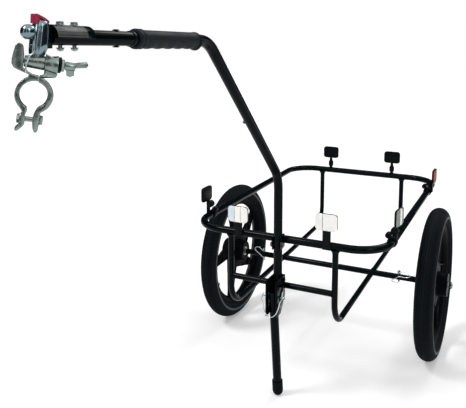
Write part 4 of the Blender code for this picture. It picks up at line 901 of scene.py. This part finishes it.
# %% Lock pin and its bow
LOCK_REACH = 0.0275
BRACKET_FRONT = DRAWBAR_Y - 0.0410
BOW_WIRE = 0.0009
WIRE_COAT = 0.0002
lock_y = STAND_PIVOT_Y - LOCK_RISE * sin(STAND_LEAN)
lock_z = STAND_PIVOT_Z + LOCK_RISE * cos(STAND_LEAN)
pin = mm((2.2, 0), (3, 0.8), (3, 3), (2.3, 3.4), (2.3, 5), (3, 5.4), (3, 54.2), (2.2, 55))
pin = turned(pin, 28, axes_along((-LOCK_REACH, lock_y, lock_z), (1, 0, 0)))
dressed("stand_pin", pin, CHROME, "stand_lock_pin")
fore = BRACKET_FRONT - SEAT - BOW_WIRE
hook = lock_y - BOLT_RADIUS - SEAT - BOW_WIRE - WIRE_COAT
bow = [(-0.0235, hook, lock_z), (-0.0225, fore, lock_z - 0.004), (-0.019, fore, lock_z - 0.010),
       (-0.015, fore, 0.041), (-0.0076, fore, 0.0306), (0.0022, fore, 0.0291), (0.0119, fore, 0.0371),
       (0.019, fore, lock_z - 0.019), (0.0225, fore, lock_z - 0.004), (0.0235, hook, lock_z),
       (0.0243, hook - 0.004, lock_z + 0.009), (0.0260, hook - 0.004, lock_z + 0.018)]
bow = swept(flowing(bow), BOW_WIRE + WIRE_COAT, 12)
dressed("stand_pin_bow", bow, WIRE, "stand_lock_bow", body="stand_bow")

# %% [markdown]
# ## Wheel lock pins
# A chromed pin goes down through the axle tube and the wheel's stub axle, and a wire bow hooked into its
# head snaps round the tube. Spring wire takes smooth curves, so its route is a spline through points.

# %% Axle pins and bows
LOCK_X = 0.200
LOCK_HEAD = 0.0040
# Bow points as (mm outward to the right, share of the way from the hook to the front, mm up)
RIGHT_BOW = ((0, 0, 14.5), (14, 0, 15.5), (28, 0.8, 13), (31.5, 1, 10), (26, 1, 6.5), (17, 1, 4.6),
             (2.4, 1, 4.8), (-6.8, 1, -1.7), (-14.5, 1, -6.5), (-17.4, 0.8, -9.5), (-13, 0, -14.5),
             (0, 0, -14.5))
LEFT_BOW = ((0, 0, 14.5), (-6, 0, 15), (-12.7, 0.2, 21), (-21.5, 0.4, 21.5), (-26.5, 0.8, 16),
            (-22.6, 1, 10.4), (-12, 1, 3), (-1.1, 1, -4.9), (5.5, 1, -9.5), (6.5, 0.3, -13.5), (0, 0, -14.5))
pin = mm((1.8, -13.5), (2.5, -12.7), (2.5, 8.6), (2.8, 8.6), (4, 9.6), (4, 16.3), (3.5, 17.1), (2.5, 18))
fore = -AXLE_TUBE - SEAT - 2 * BOW_WIRE
hook = -LOCK_HEAD - SEAT - BOW_WIRE
for name, x, bow in (("left", -LOCK_X, LEFT_BOW), ("right", LOCK_X, RIGHT_BOW)):
    dressed(name + "_lock_pin", turned(pin, 28, Matrix.Translation((x, 0, 0))), CHROME, name + "_axle_pin")
    route = [(x + along / 1000, hook + (fore - hook) * depth, height / 1000) for along, depth, height in bow]
    wire = swept(flowing(route), BOW_WIRE + WIRE_COAT, 12)
    dressed(name + "_lock_bow", wire, WIRE, name + "_axle_bow", body=name + "_pin_bow")

# %% [markdown]
# ## Tyres
# A 16 inch tyre, 47 mm wide: a crown with rows of small blocks between grooves, and plain sidewalls with
# two fine rings. The tread could be a bump, but it shows at the tyre's edge, so it is in the mesh: the tyre
# is turned in 360 steps, and the radius drops where a groove or a cut between blocks runs.

# %% Tyre section and tread
WHEEL_RADIUS = 0.1994
TYRE_HALF_WIDTH = 0.0235
TYRE_STEPS = 360
BLOCK_STEPS = 3
GROOVE_DEPTH = 0.0016
CUT_DEPTH = 0.0012
# Grooves in mm from the middle of the tread, and block rows in metres as (from, to, shift in steps)
GROOVES = (3.4, 8.5, 13.4)
BLOCK_ROWS = ((0.0042, 0.0079, 0), (0.0091, 0.0128, 1), (0.0140, 0.0176, 2))
TREAD_EDGE = 0.0182
TREAD_FROM = 0.19
WIDEST_BAND = (0.1730, 0.1775)


def crown(place):
    """Radius of the tyre's round crown at a distance from its middle."""
    return WHEEL_RADIUS - TYRE_HALF_WIDTH + sqrt(TYRE_HALF_WIDTH ** 2 - place ** 2)


outer = [(crown(0), 0.0)]
for groove in GROOVES:
    for offset, depth in ((-0.7, 0), (-0.5, GROOVE_DEPTH), (0.5, GROOVE_DEPTH), (0.7, 0)):
        place = (groove + offset) / 1000
        outer.append((crown(place) - depth, place))
outer += [(crown(place / 1000), place / 1000) for place in (15.5, 17.6, 18, 20, 21.6, 22.8, 23.4)]
outer += mm((172.5, 23.2), (170.6, 22.6), (170.2, 23.1), (169.2, 23.1), (168.8, 22), (165, 19.7),
            (164.6, 20.1), (163.6, 19.8), (163.2, 19), (160.4, 16), (158.1, 12.8), (157.1, 11), (152.9, 10.1),
            (152.9, 6.5))
inner = mm((160, 8.5), (168, 16.5), (176, 19.2), (186, 16.5), (193.5, 8))
tyre_outline = [(radius, -place) for radius, place in outer[:0:-1]] + outer + inner + mm((195.4, 0))
tyre_outline += [(radius, -place) for radius, place in inner[::-1]]


# %% Tread blocks, grooves and the rubbed band


def tread_radius(radius, height, angle):
    """Radius with the cuts between the blocks of a row taken out."""
    step = round(angle / (2 * pi) * TYRE_STEPS)
    for low, high, shift in BLOCK_ROWS:
        if low <= abs(height) <= high + 0.0001 and radius > TREAD_FROM and (step + shift) % BLOCK_STEPS == 0:
            return radius - CUT_DEPTH
    return radius


def in_groove(middle):
    """Whether a face of the tyre lies below the crown of the tread, which gets darker rubber as painted
    shade.
    """
    if abs(middle.z) > TREAD_EDGE:
        return False
    return 0.0005 < crown(middle.z) - hypot(middle.x, middle.y) < 0.0040


def on_ridge(middle):
    """Whether a face of the tyre lies on its widest band, which gets a light grey painted highlight."""
    return abs(middle.z) > 0.0228 and WIDEST_BAND[0] < hypot(middle.x, middle.y) < WIDEST_BAND[1]


# %% [markdown]
# ## Wheels
# The wheels are moulded nylon: a deep hub, a rim, and five webbed spokes with pockets on both faces, each
# with one straight and one hollow edge. A disc is turned with the section of hub and web, the windows and
# pockets are cut out of it, as the mould's cores leave them, and all edges are rounded.

# %% Wheel shape
SPOKE_COUNT = 5
SPOKE_ANGLE = 36
SPOKE_HALF_DEPTH = 0.0068
SPOKE_WEB = 0.0022
SPOKE_RIB = 0.0032
SPOKE_OFFSETS = (0.0055, 0.0064)
SPOKE_REACH = (0.050, 0.138)
SPOKE_BRACE = 0.100
# Hollow edge as (radius in metres, angle in degrees)
SPOKE_SWEEP = ((0.060, 39.5), (0.070, 28.5), (0.080, 20), (0.100, 11.4), (0.120, 5.8), (0.138, 3.2))
WINDOW_INNER = 0.053
WINDOW_OUTER = 0.1525
WINDOW_MARGIN = 3
RIM_OPENING = 0.1395
HUB_HALF_LENGTH = 0.0315


def straight_edge(radius):
    """Point on a spoke's straight edge, the spoke lying along local X."""
    share = (radius - SPOKE_REACH[0]) / (SPOKE_REACH[1] - SPOKE_REACH[0])
    offset = SPOKE_OFFSETS[0] + (SPOKE_OFFSETS[1] - SPOKE_OFFSETS[0]) * share
    return Vector((sqrt(radius ** 2 - offset ** 2), offset))


def hollow_edge(low, high, back=0.0):
    """Smooth points on a spoke's hollow edge between two of its given points."""
    angles = [(radius, radians(back - turn)) for radius, turn in SPOKE_SWEEP]
    route = flowing([(radius * cos(angle), radius * sin(angle), 0) for radius, angle in angles], 4)
    return [point.xy for point in route[low * 4:high * 4 + 1]]


def inset(outline, distance):
    """Outline moved inward by a distance, its points running counterclockwise."""
    result = []
    for index, point in enumerate(outline):
        back = (point - outline[index - 1]).normalized()
        onward = (outline[(index + 1) % len(outline)] - point).normalized()
        first, second = Vector((-back.y, back.x)), Vector((-onward.y, onward.x))
        middle = (first + second).normalized()
        result.append(point + middle * distance / middle.dot(first))
    return result


def mirrored(outline):
    """Outline followed by its mirror image across zero height."""
    return outline + [(radius, -height) for radius, height in outline[::-1]]


# %% Windows, pockets and rim
pitch = 360 / SPOKE_COUNT
window = [straight_edge(SPOKE_REACH[1]), straight_edge(WINDOW_INNER), *hollow_edge(0, 5, pitch)]
window += [Vector(point) for point in arc((0, 0), WINDOW_OUTER, pitch - WINDOW_MARGIN, WINDOW_MARGIN, 20)]
straight = [straight_edge(radius) for radius in (SPOKE_BRACE + SPOKE_RIB / 2, WINDOW_INNER + 0.002,
                                                 SPOKE_REACH[1], SPOKE_BRACE - SPOKE_RIB / 2)]
pockets = ([*hollow_edge(0, 3), *straight[:2]], [*hollow_edge(3, 5), *straight[2:]])
cutters = []
deep = 2 * SPOKE_HALF_DEPTH
for index in range(SPOKE_COUNT):
    turn = Matrix.Rotation(radians(SPOKE_ANGLE + pitch * index), 4, "Z")
    cutters.append(plate(window, -deep, deep, turn))
    for pocket in pockets:
        hollow = inset(pocket, SPOKE_RIB)
        cutters += [plate(hollow, SPOKE_WEB, deep, turn), plate(hollow, -deep, -SPOKE_WEB, turn)]
disc = mirrored(mm((14, 31.5), (28, 31.5), (30, 29.5), (32, 12), (35, 9), (50, 6.8), (145.5, 6.8)))
rim = mirrored(mm((139.5, 1.5), (146, 8.5), (153.5, 13.1), (156.9, 13.6), (157.5, 13), (157.5, 12),
                  (152.5, 10.5), (152.5, 7.5), (149.5, 6.5)))
spider = eased(cut(turned(disc, 96, closed=True), *cutters), 0.0007)
wheel_form = merged(spider, turned(rim, 144, closed=True))
print("wheel faces", len(wheel_form.polygons))

# %% [markdown]
# The parts round it are turned too: the inner tube, its valve with a knurled cap, a zinc-plated bush, a
# stepped cover, and the stub axle with washer, nut and thread. A mirrored set of axes turns one wheel into
# the other.

# %% Sections of what turns with a wheel
WHEEL_X = 0.2935
VALVE_ANGLE = radians(210)
VALVE_WAY = Vector((cos(VALVE_ANGLE), sin(VALVE_ANGLE), 0))
VALVE_FLUTES = 12
COVER_FACE = -HUB_HALF_LENGTH - SEAT
STUB_AXLE = 0.006
STUB_START = 0.190
STUB_SHOULDER = 0.009
STUB_WASHER = 0.0012
# Hexagon nut as (height, radius, chamfer)
STUB_NUT = (0.0072, 0.0098, 0.0009)
AXLE_FACE = WHEEL_X + HUB_HALF_LENGTH + SEAT + 0.0028
INNER_TUBE = mm((158, 0.1), (165, 12), (174, 16.5), (184, 13), (190, 0.1), (184, -13), (174, -16.5),
                (165, -12))
VALVE = mm((1.2, 0), (2.6, 0.4), (3.3, 1.6), (3.3, 7.2), (2.6, 8), (2.4, 8.6), (3, 9.2), (3, 21))
BUSH = mirrored(mm((6.4, -31), (13.1, -31), (13.7, -30.4)))
COVER = mm((6.4, 0), (29.4, 0), (30, -0.6), (30, -1.6), (29.2, -2.4), (26, -2.4), (24.8, -1.4), (18, -1.4),
           (16.5, -2.4), (6.4, -2.4), along=COVER_FACE)


# %% The same pieces left and right


def knurled(radius, height, angle):
    """Radius of the valve, with flutes round its cap."""
    return radius + 0.0002 * cos(VALVE_FLUTES * angle) * (height < 0.0075)


for name, side in (("left", -1), ("right", 1)):
    axes = Matrix(((0, 0, -side, 0), (-side, 0, 0, 0), (0, 1, 0, 0), (0, 0, 0, 1)))
    place = TRAILER @ Matrix.Translation((side * WHEEL_X, 0, 0)) @ axes
    body = name + "_wheel"
    on_wheel = partial(dressed, body=body, place=place)
    on_wheel(body + "_rim", wheel_form.copy(), "black_glass_filled_nylon", name + "_rim")
    tyre = turned(tyre_outline, TYRE_STEPS, closed=True, shape_of=tread_radius)
    tyre = on_wheel(body + "_tyre", tyre, "tyre_rubber", name + "_tyre", sharp=50)
    # The grooves take the darker foot rubber as painted shade, and the widest band a painted highlight
    second_finish(tyre, "foot_rubber", place, in_groove)
    second_finish(tyre, "tyre_painted_highlight_band", place, on_ridge)
    on_wheel(body + "_tube", turned(INNER_TUBE, 96, closed=True), "foot_rubber", name + "_inner_tube")
    valve = turned(VALVE, 24, axes_along(VALVE_WAY * (RIM_OPENING - 0.0075), VALVE_WAY), shape_of=knurled)
    on_wheel(name + "_valve", valve, ZINC)
    on_wheel(name + "_bearing_bush", turned(BUSH, 48, closed=True), ZINC, name + "_hub_bush")
    on_wheel(body + "_cover", turned(COVER, 64, closed=True), "black_abs", name + "_hub_cover")

    way = Vector((side, 0, 0))
    nut_place = axes_along(way * AXLE_FACE, way)
    shoulder = swept([way * (AXLE_HALF_LENGTH + SEAT), way * (WHEEL_X - HUB_HALF_LENGTH - SEAT)],
                     STUB_SHOULDER, 40)
    forms = [swept([way * STUB_START, way * AXLE_FACE], STUB_AXLE, 32), eased(shoulder, 0.0006),
             turned(mm((10.6, 0), (11, 0.3), (10.6, 1.2)), 40, nut_place),
             moved(hex_form(*STUB_NUT), nut_place @ Matrix.Translation((0, 0, STUB_WASHER))),
             turned(mm((7.8, 8), (7.6, 9.2), (6.6, 10)), 32, nut_place),
             moved(thread(0.0056, 0.0110), nut_place)]
    dressed(body + "_axle", merged(*forms), ZINC, name + "_stub_axle")

# %% [markdown]
# ## Coupling
# The saddle is a bent plate bolted over the drawbar's end, with a grey plate on top, and holds a chromed
# socket. A stud turns in the socket and carries the seat post clamp, so the bicycle can lean and turn. The
# saddle is a copy of its node with eased edges, and the cap is a folded red hood. The socket is turned with
# a belly, with grooves along it where its plates are folded.

# %% Saddle, its bolts and the cap
SADDLE_RADIUS = 0.0142
SADDLE_WALL_SHARE = 0.93
SADDLE_ENDS = (DRAWBAR_Y - 0.7085, DRAWBAR_Y - 0.6555)
SADDLE_BOLTS = (("front", DRAWBAR_Y - 0.6905), ("rear", DRAWBAR_Y - 0.6655))
SADDLE_BOLT_TIP = 0.0062
CAP_HALF_WIDTH = 0.0054
copied("drawbar_saddle", "coupler_body", 0.0005, PAINT)
front, rear = [drawbar_point(y) for y in SADDLE_ENDS]
over = arc((0, 0), SADDLE_RADIUS, 2, -182, 23)
under = [(a * SADDLE_WALL_SHARE, b * SADDLE_WALL_SHARE) for a, b in reversed(over)]
cover = plate(over + under, 0, (rear - front).length, axes_along(front, rear - front, (1, 0, 0)))
dressed("saddle_top_plate", eased(cover, 0.0003), "grey_phosphated_steel")
for name, y in SADDLE_BOLTS:
    head = drawbar_point(y) + FRONT_UP * (SADDLE_RADIUS + SEAT + HEAD_HEIGHT)
    tip = drawbar_point(y) - FRONT_UP * (DRAWBAR_TUBE + SEAT + SADDLE_BOLT_TIP)
    made = bolt(head, tip, COUPLER_BOLT, COUPLER_BOLT_HEAD, dome=True)
    dressed(f"saddle_{name}_bolt", made, ZINC, f"coupler_{name}_bolt")
hood = mm((-10.4, 42.5), (-11.6, 53.2), (1, 51.5), (8.6, 49.2), (8.8, 46.7), (1, 48.4), (-8, 49.8),
          (-8.6, 42.5))
cap = eased(plate(hood, -CAP_HALF_WIDTH, CAP_HALF_WIDTH, FACING_SIDE), 0.0007, 3)
dressed("red_cap", cap, "red_polypropylene", "socket_cap", place=HITCH)

# %% Socket
STUD_RADIUS = 0.0055
SOCKET_LEAN = 0.0011
SOCKET_GROOVE_DEPTH = 0.0007
# Grooves as angles in radians round the socket, and half the width of one
SOCKET_GROOVES = (-2.00, -1.12, -0.72)
SOCKET_GROOVE_HALF = 0.10
SOCKET = mm((5.8, 38), (5.8, 8.2), (7.9, 8.2), (8.6, 8.8), (9.4, 11.5), (10, 15), (10.4, 19), (10.6, 23),
            (10.6, 29), (10.4, 34), (10, 38.5), (9.2, 43), (8.2, 45.8), (7.4, 46.6))


def socket_radius(radius, height, angle):
    """Radius of the socket with grooves along its side and a slight lean to the right, less at its foot."""
    if radius < STUD_RADIUS + 0.001:
        return radius
    turn = (angle + pi) % (2 * pi) - pi
    near = max(0, 1 - min(abs(turn - groove) for groove in SOCKET_GROOVES) / SOCKET_GROOVE_HALF)
    lean_out = SOCKET_LEAN - 0.0017 * max(0, (0.026 - height) / 0.018) ** 2
    return radius - SOCKET_GROOVE_DEPTH * near + lean_out * cos(angle)


dressed("turned_socket", turned(SOCKET, 144, shape_of=socket_radius), CHROME, "hitch_socket", place=HITCH)

# %% Plunger with its round knob
KNOB_RADIUS = 0.0085
KNOB_REACH = 0.0172
KNOB_FLAT = 0.0114
KNOB_HEIGHT = 0.0312
knob_start = degrees(acos((KNOB_REACH - KNOB_FLAT) / KNOB_RADIUS))
ball = [(-b, KNOB_REACH - a) for a, b in arc((0, 0), KNOB_RADIUS, -knob_start, -177, 19)]
knob = turned([*mm((3, 5.8), (3, 11.4)), *ball], 48, axes_along((0, 0, KNOB_HEIGHT), (0, -1, 0)))
dressed("plunger_knob", knob, CHROME, "lock_plunger", body="plunger", place=HITCH)

# %% [markdown]
# ## Swivel and seat post clamp
# The clamp is two bent straps of zinc-plated steel, each a plate from an outline with round arcs. The left
# one widens into the ear that takes the bolt's head, and the right one carries a conical sleeve. One long
# bolt holds both on the swivel's barrel, with a dark washer, a nut and a wing nut.

# %% Swivel eye
HITCH_BOLT = 0.003
barrel = mm((3.3, -12.8), (6, -12.8), (6.6, -12.2), (8.2, 8.9), (7.6, 9.5), (3.3, 9.5))
stud = mm((5.5, 5), (5.5, 6.5), (7.2, 6.5), (7.2, 7.9), (5.5, 7.9), (5.5, 37.7))
eye = merged(turned(barrel, 56, ALONG_X, closed=True), turned(stud, 48))
dressed("swivel_barrel", eye, ZINC, "swivel_eye", body="swivel", place=SWIVEL)

# %% Clamp outlines
CLAMP_CENTRE = (0.0018, -0.0367)
CLAMP_BORE = 0.0158
CLAMP_OUTER = 0.0210
RIGHT_BORE = 0.0148
CLAMP_SPLIT = 0.0050
CLAMP_HALF_DEPTH = 0.009
CLAMP_BOLT_DROP = 0.065
CLAMP_EDGE = 0.0009
# How far a bar that cuts a hole reaches to either side
THROUGH = 0.04


def split_angle(face):
    """Where a flat face beside the split meets the clamp's bore, in degrees."""
    return degrees(acos((face - CLAMP_CENTRE[0]) / CLAMP_BORE))


left_outline = [
    *mm((4.7, -14.6), (-2.1, -13.8), (-6.9, -11.7), (-9.5, -9.2), (-13.1, -8.2), (-13.6, 7), (-15.3, 16.2),
        (-17.1, 18.7), (-19.5, 19.6), (-21.9, 18.6), (-23.7, 15.8), (-24.9, 9.3), (-25.9, 1.3), (-25.8, -4.4),
        (-23.3, -8.6), (-17.2, -11.1), (-11.3, -12.9), (-6.4, -14.3)),
    *arc(CLAMP_CENTRE, CLAMP_OUTER, 114, 228, 36),
    *mm((-9.2, -56.5), (-10.1, -59.5), (-10.1, -70), (-14.6, -75.2), (-15.4, -77.2), (-14.4, -78.8),
        (-12, -78.5), (-7, -73.5), (-5.2, -70), (-5.2, -59), (-4, -55.4)),
    *arc(CLAMP_CENTRE, CLAMP_BORE, 246, split_angle(CLAMP_SPLIT - SEAT), 44)]
right_outline = [
    *mm((5.3, -14.6), (9.8, -13), (9.8, 10.8), (16, 8.6), (24.3, 6.2), (24.3, -12), (22, -15.2),
        (17.4, -15.6), (12.6, -15)),
    *arc(CLAMP_CENTRE, CLAMP_OUTER, 70, -60, 36),
    *mm((11, -56), (10.1, -59), (10.1, -71.5), (10, -75.5), (9, -78.3), (7.2, -79.2), (5.4, -78), (3.8, -74),
        (3.2, -69), (3.6, -60), (5.2, -55)),
    *arc(CLAMP_CENTRE, RIGHT_BORE, -66, split_angle(CLAMP_SPLIT + SEAT), 40)]


# %% Straps with their holes


def cross_rod(radius, low, high, height=0.0):
    """Bar along the clamp's X between two places."""
    return swept([(low, 0, height), (high, 0, height)], radius, 32)


def clamp_half(outline, cutter):
    """Strap with its two bolt holes and one more cut, its edges eased."""
    strap = plate(outline, -CLAMP_HALF_DEPTH, CLAMP_HALF_DEPTH, FACING_FRONT)
    holes = (cross_rod(HITCH_BOLT + SEAT, -THROUGH, THROUGH),
             cross_rod(BOLT_RADIUS + SEAT, -THROUGH, THROUGH, -CLAMP_BOLT_DROP))
    return eased(cut(strap, *holes, cutter), CLAMP_EDGE, 3)


# %% Clamp halves
# Where the recess for the hitch bolt's head ends
HEAD_SINK = -0.0220
HITCH_BOLT_HEAD = 0.0055
EAR_HALF_WIDTH = 0.0101
left_half = clamp_half(left_outline, cross_rod(HITCH_BOLT_HEAD + 0.0005, -THROUGH, HEAD_SINK))
on_clamp = partial(dressed, body="seat_clamp", place=CLAMP)
on_clamp("clamp_left_half", left_half, ZINC, "clamp_left")
lug_front = plate(mm((8.8, -13.5), (25.3, -13.5), (25.3, 12), (8.8, 12)), -0.011, -0.006, FACING_FRONT)
sleeve = turned(mm((8.4, 9.8), (8.8, 10.2), (11.2, 23.1), (11.1, 23.9), (10.4, 24.3)), 56,
                axes_along((0, 0, -0.0012), (1, 0, 0)))
on_clamp("clamp_right_half", merged(clamp_half(right_outline, lug_front), sleeve), ZINC, "clamp_right")
reach = EAR_HALF_WIDTH + SEAT + HEAD_HEIGHT
ear_bolt = bolt((-reach, 0, -CLAMP_BOLT_DROP), (reach, 0, -CLAMP_BOLT_DROP), BOLT_RADIUS, BOLT_HEAD)
on_clamp("clamp_ear_bolt", ear_bolt, ZINC, "clamp_bolt")

# %% Hitch bolt, wing nut and wire clip
HITCH_BOLT_LEFT = -0.0255
HITCH_BOLT_RIGHT = 0.040
LUG_FACE = 0.0243
NUT_START = 0.0278
# Hexagon nut as (height, radius, chamfer)
HITCH_NUT = (0.0033, 0.0082, 0.0009)
# A black ring fills the dark band between the lug and the nut
washer = turned(mm((8.8, 24.6), (9.2, 25), (9.2, 27.2), (8.8, 27.5)), 48, ALONG_X)
washer = cut(washer, cross_rod(HITCH_BOLT + SEAT, -THROUGH, THROUGH))
on_clamp("hitch_washer", washer, "black_abs")
nut_place, end_place = [ALONG_X @ Matrix.Translation((0, 0, start)) for start in (NUT_START, LUG_FACE)]
forms = [turned(mm((4.9, -25.5), (5.5, -24.9), (5.5, -22.3)), 6, ALONG_X),
         moved(hex_form(*HITCH_NUT), nut_place),
         cross_rod(HITCH_BOLT - 0.0002, HITCH_BOLT_LEFT + 0.001, HITCH_BOLT_RIGHT - 0.001),
         moved(thread(HITCH_BOLT, HITCH_BOLT_RIGHT - LUG_FACE), end_place)]
on_clamp("hitch_bolt_stack", merged(*forms), ZINC, "hitch_bolt")
copied("wing_nut_casting", "wing_nut", 0.0006, ZINC, "wing")
clip = mm((-3, -6, 12.5), (-4.6, -9.8, 9.6), (-7.5, -10.1, 6.3), (-9.4, -10.1, 0.4), (-10.2, -10.1, -5.4),
          (-10, -10.1, -9.8), (-9.2, -9.6, -12.2))
on_clamp("clamp_wire_clip", swept(flowing(clip), BOW_WIRE, 12), WIRE)

# %% [markdown]
# ## Reflectors
# Each reflector is an acrylic lens in a black ABS tray. Its face is fluted and has three flat panels,
# tilted a little, so that it throws light back over a wide angle. The lens is a grid of points clipped to a
# round-cornered rectangle. The trays and their mountings are copies of their nodes with rounded edges.

# %% Lens form
LENS_WIDTH = 0.0506
LENS_HEIGHT = 0.0376
LENS_TOP = 0.0033
LENS_BASE = 0.0003
LENS_EDGE = 0.0022
LENS_CORNER = 0.0078
EDGE_DROP = 0.0016
PANEL_EDGE = 0.0080
PANEL_TILT = 0.09
FLUTE = 0.0024
FLUTE_SLOPE = 0.0014
FLUTE_BOTTOM = (0.42, 0.62)
PANEL_LINE = 0.0005
COLUMNS, ROWS = 118, 40


def lens_form():
    """Lens with three panels, upright flutes and an eased edge; local Z is its facing."""
    shape = bmesh.new()
    half_width, half_height = LENS_WIDTH / 2, LENS_HEIGHT / 2
    grid = []
    for row in range(ROWS + 1):
        up = sin((row / ROWS - 0.5) * pi) * half_height
        over = max(0, abs(up) - (half_height - LENS_CORNER))
        width = half_width - LENS_CORNER + sqrt(LENS_CORNER ** 2 - over ** 2)
        line = []
        for column in range(COLUMNS + 1):
            side = (column / COLUMNS * 2 - 1) * width
            ease = min(1, max(0, min(width - abs(side), half_height - abs(up))) / LENS_EDGE)
            tilt = max(0, abs(side) - PANEL_EDGE) * PANEL_TILT
            ridge = abs((side / FLUTE) % 1 - 0.5) * FLUTE_SLOPE
            level = LENS_TOP - tilt - EDGE_DROP * (1 - ease) ** 2 - ridge * ease
            line.append(shape.verts.new((side, up, level)))
        grid.append(line)
    for low, high in zip(grid, grid[1:]):
        for column in range(COLUMNS):
            shape.faces.new((low[column], low[column + 1], high[column + 1], high[column]))
    right, left = [line[-1] for line in grid[1:]], [line[0] for line in grid[-2:0:-1]]
    border = grid[0] + right + grid[-1][-2::-1] + left
    back = [shape.verts.new((point.co.x, point.co.y, LENS_BASE)) for point in border]
    bridge(shape, border, back)
    shape.faces.new(back)
    bmesh.ops.remove_doubles(shape, verts=shape.verts, dist=0.000001)
    return mesh_of(shape)


# %% Faces of the lens


def on_face(middle):
    """Whether a face of the lens belongs to its front and not to its rim or back."""
    return middle.z > LENS_BASE + 0.0006


def in_flute(middle):
    """Whether a face of the lens lies at the bottom of a flute, or on its edge."""
    return on_face(middle) and FLUTE_BOTTOM[0] < (middle.x / FLUTE) % 1 < FLUTE_BOTTOM[1]


def on_panel_line(middle):
    """Whether a face of the lens lies on the line between two of its panels."""
    return on_face(middle) and abs(abs(middle.x) - PANEL_EDGE) < PANEL_LINE


# %% Seven reflectors
TRAY_DEPTH = 0.005
FRONT_Y = -RING_HALF_LENGTH - RING_TUBE - SEAT - TRAY_DEPTH
BACK_Y = RING_HALF_LENGTH + TRAY_DEPTH / 2
# Each is (name, x, y, height over the ring, turn of its facing in degrees from the right, lens, flutes)
REFLECTORS = (("front_left", -0.1045, FRONT_Y, 0.0475, -90, CLEAR, "flute_shadow"),
              ("front_right", 0.1110, FRONT_Y, 0.0575, -90, CLEAR, "flute_shadow"),
              ("back_left", BACK_REFLECTOR_X[0], BACK_Y, 0.061, 90, RED, "red_flute_shadow"),
              ("back_right", BACK_REFLECTOR_X[1], BACK_Y, 0.061, 90, RED, "red_flute_shadow"),
              ("right_rear", 0.2545, 0.209, 0.049, 0, RED, "red_flute_shadow"),
              ("right_front", 0.2500, -0.278, 0.060, -6, CLEAR, "greenish_painted_shade"),
              ("left_front", -0.2535, -0.263, 0.0515, 180, CLEAR, "flute_shadow"))
# Outer panels with painted light, a bluish painted reflection on the front left lens and a greenish painted
# shade on the right front one, and lines between panels that show as painted shade
SIDE_PANELS = {"front_left": ("bluish_painted_reflection", lambda middle: middle.x < -PANEL_EDGE * 1.2),
               "right_front": ("greenish_painted_shade", lambda middle: abs(middle.x) > PANEL_EDGE * 0.8)}
LINES = {"front_left": on_panel_line, "front_right": lambda middle: middle.x < 0 and on_panel_line(middle)}
for name, x, y, rise, turn, lens_finish, flutes in REFLECTORS:
    facing = Vector((cos(radians(turn)), sin(radians(turn)), 0))
    place = TRAILER @ axes_along((x, y, RING_HEIGHT + rise), facing, Vector((0, 0, 1)).cross(facing))
    lens = dressed(name + "_reflector_lens", lens_form(), lens_finish, name + "_lens", place=place, sharp=60)
    if name in SIDE_PANELS:
        tint, chosen = SIDE_PANELS[name]
        second_finish(lens, tint, place, chosen)
    second_finish(lens, flutes, place, in_flute)
    if name in LINES:
        # The lines between panels get painted shade
        second_finish(lens, "panel_line_shade", place, LINES[name])
    copied(name + "_reflector_tray", name + "_housing", 0.0005, "black_abs")
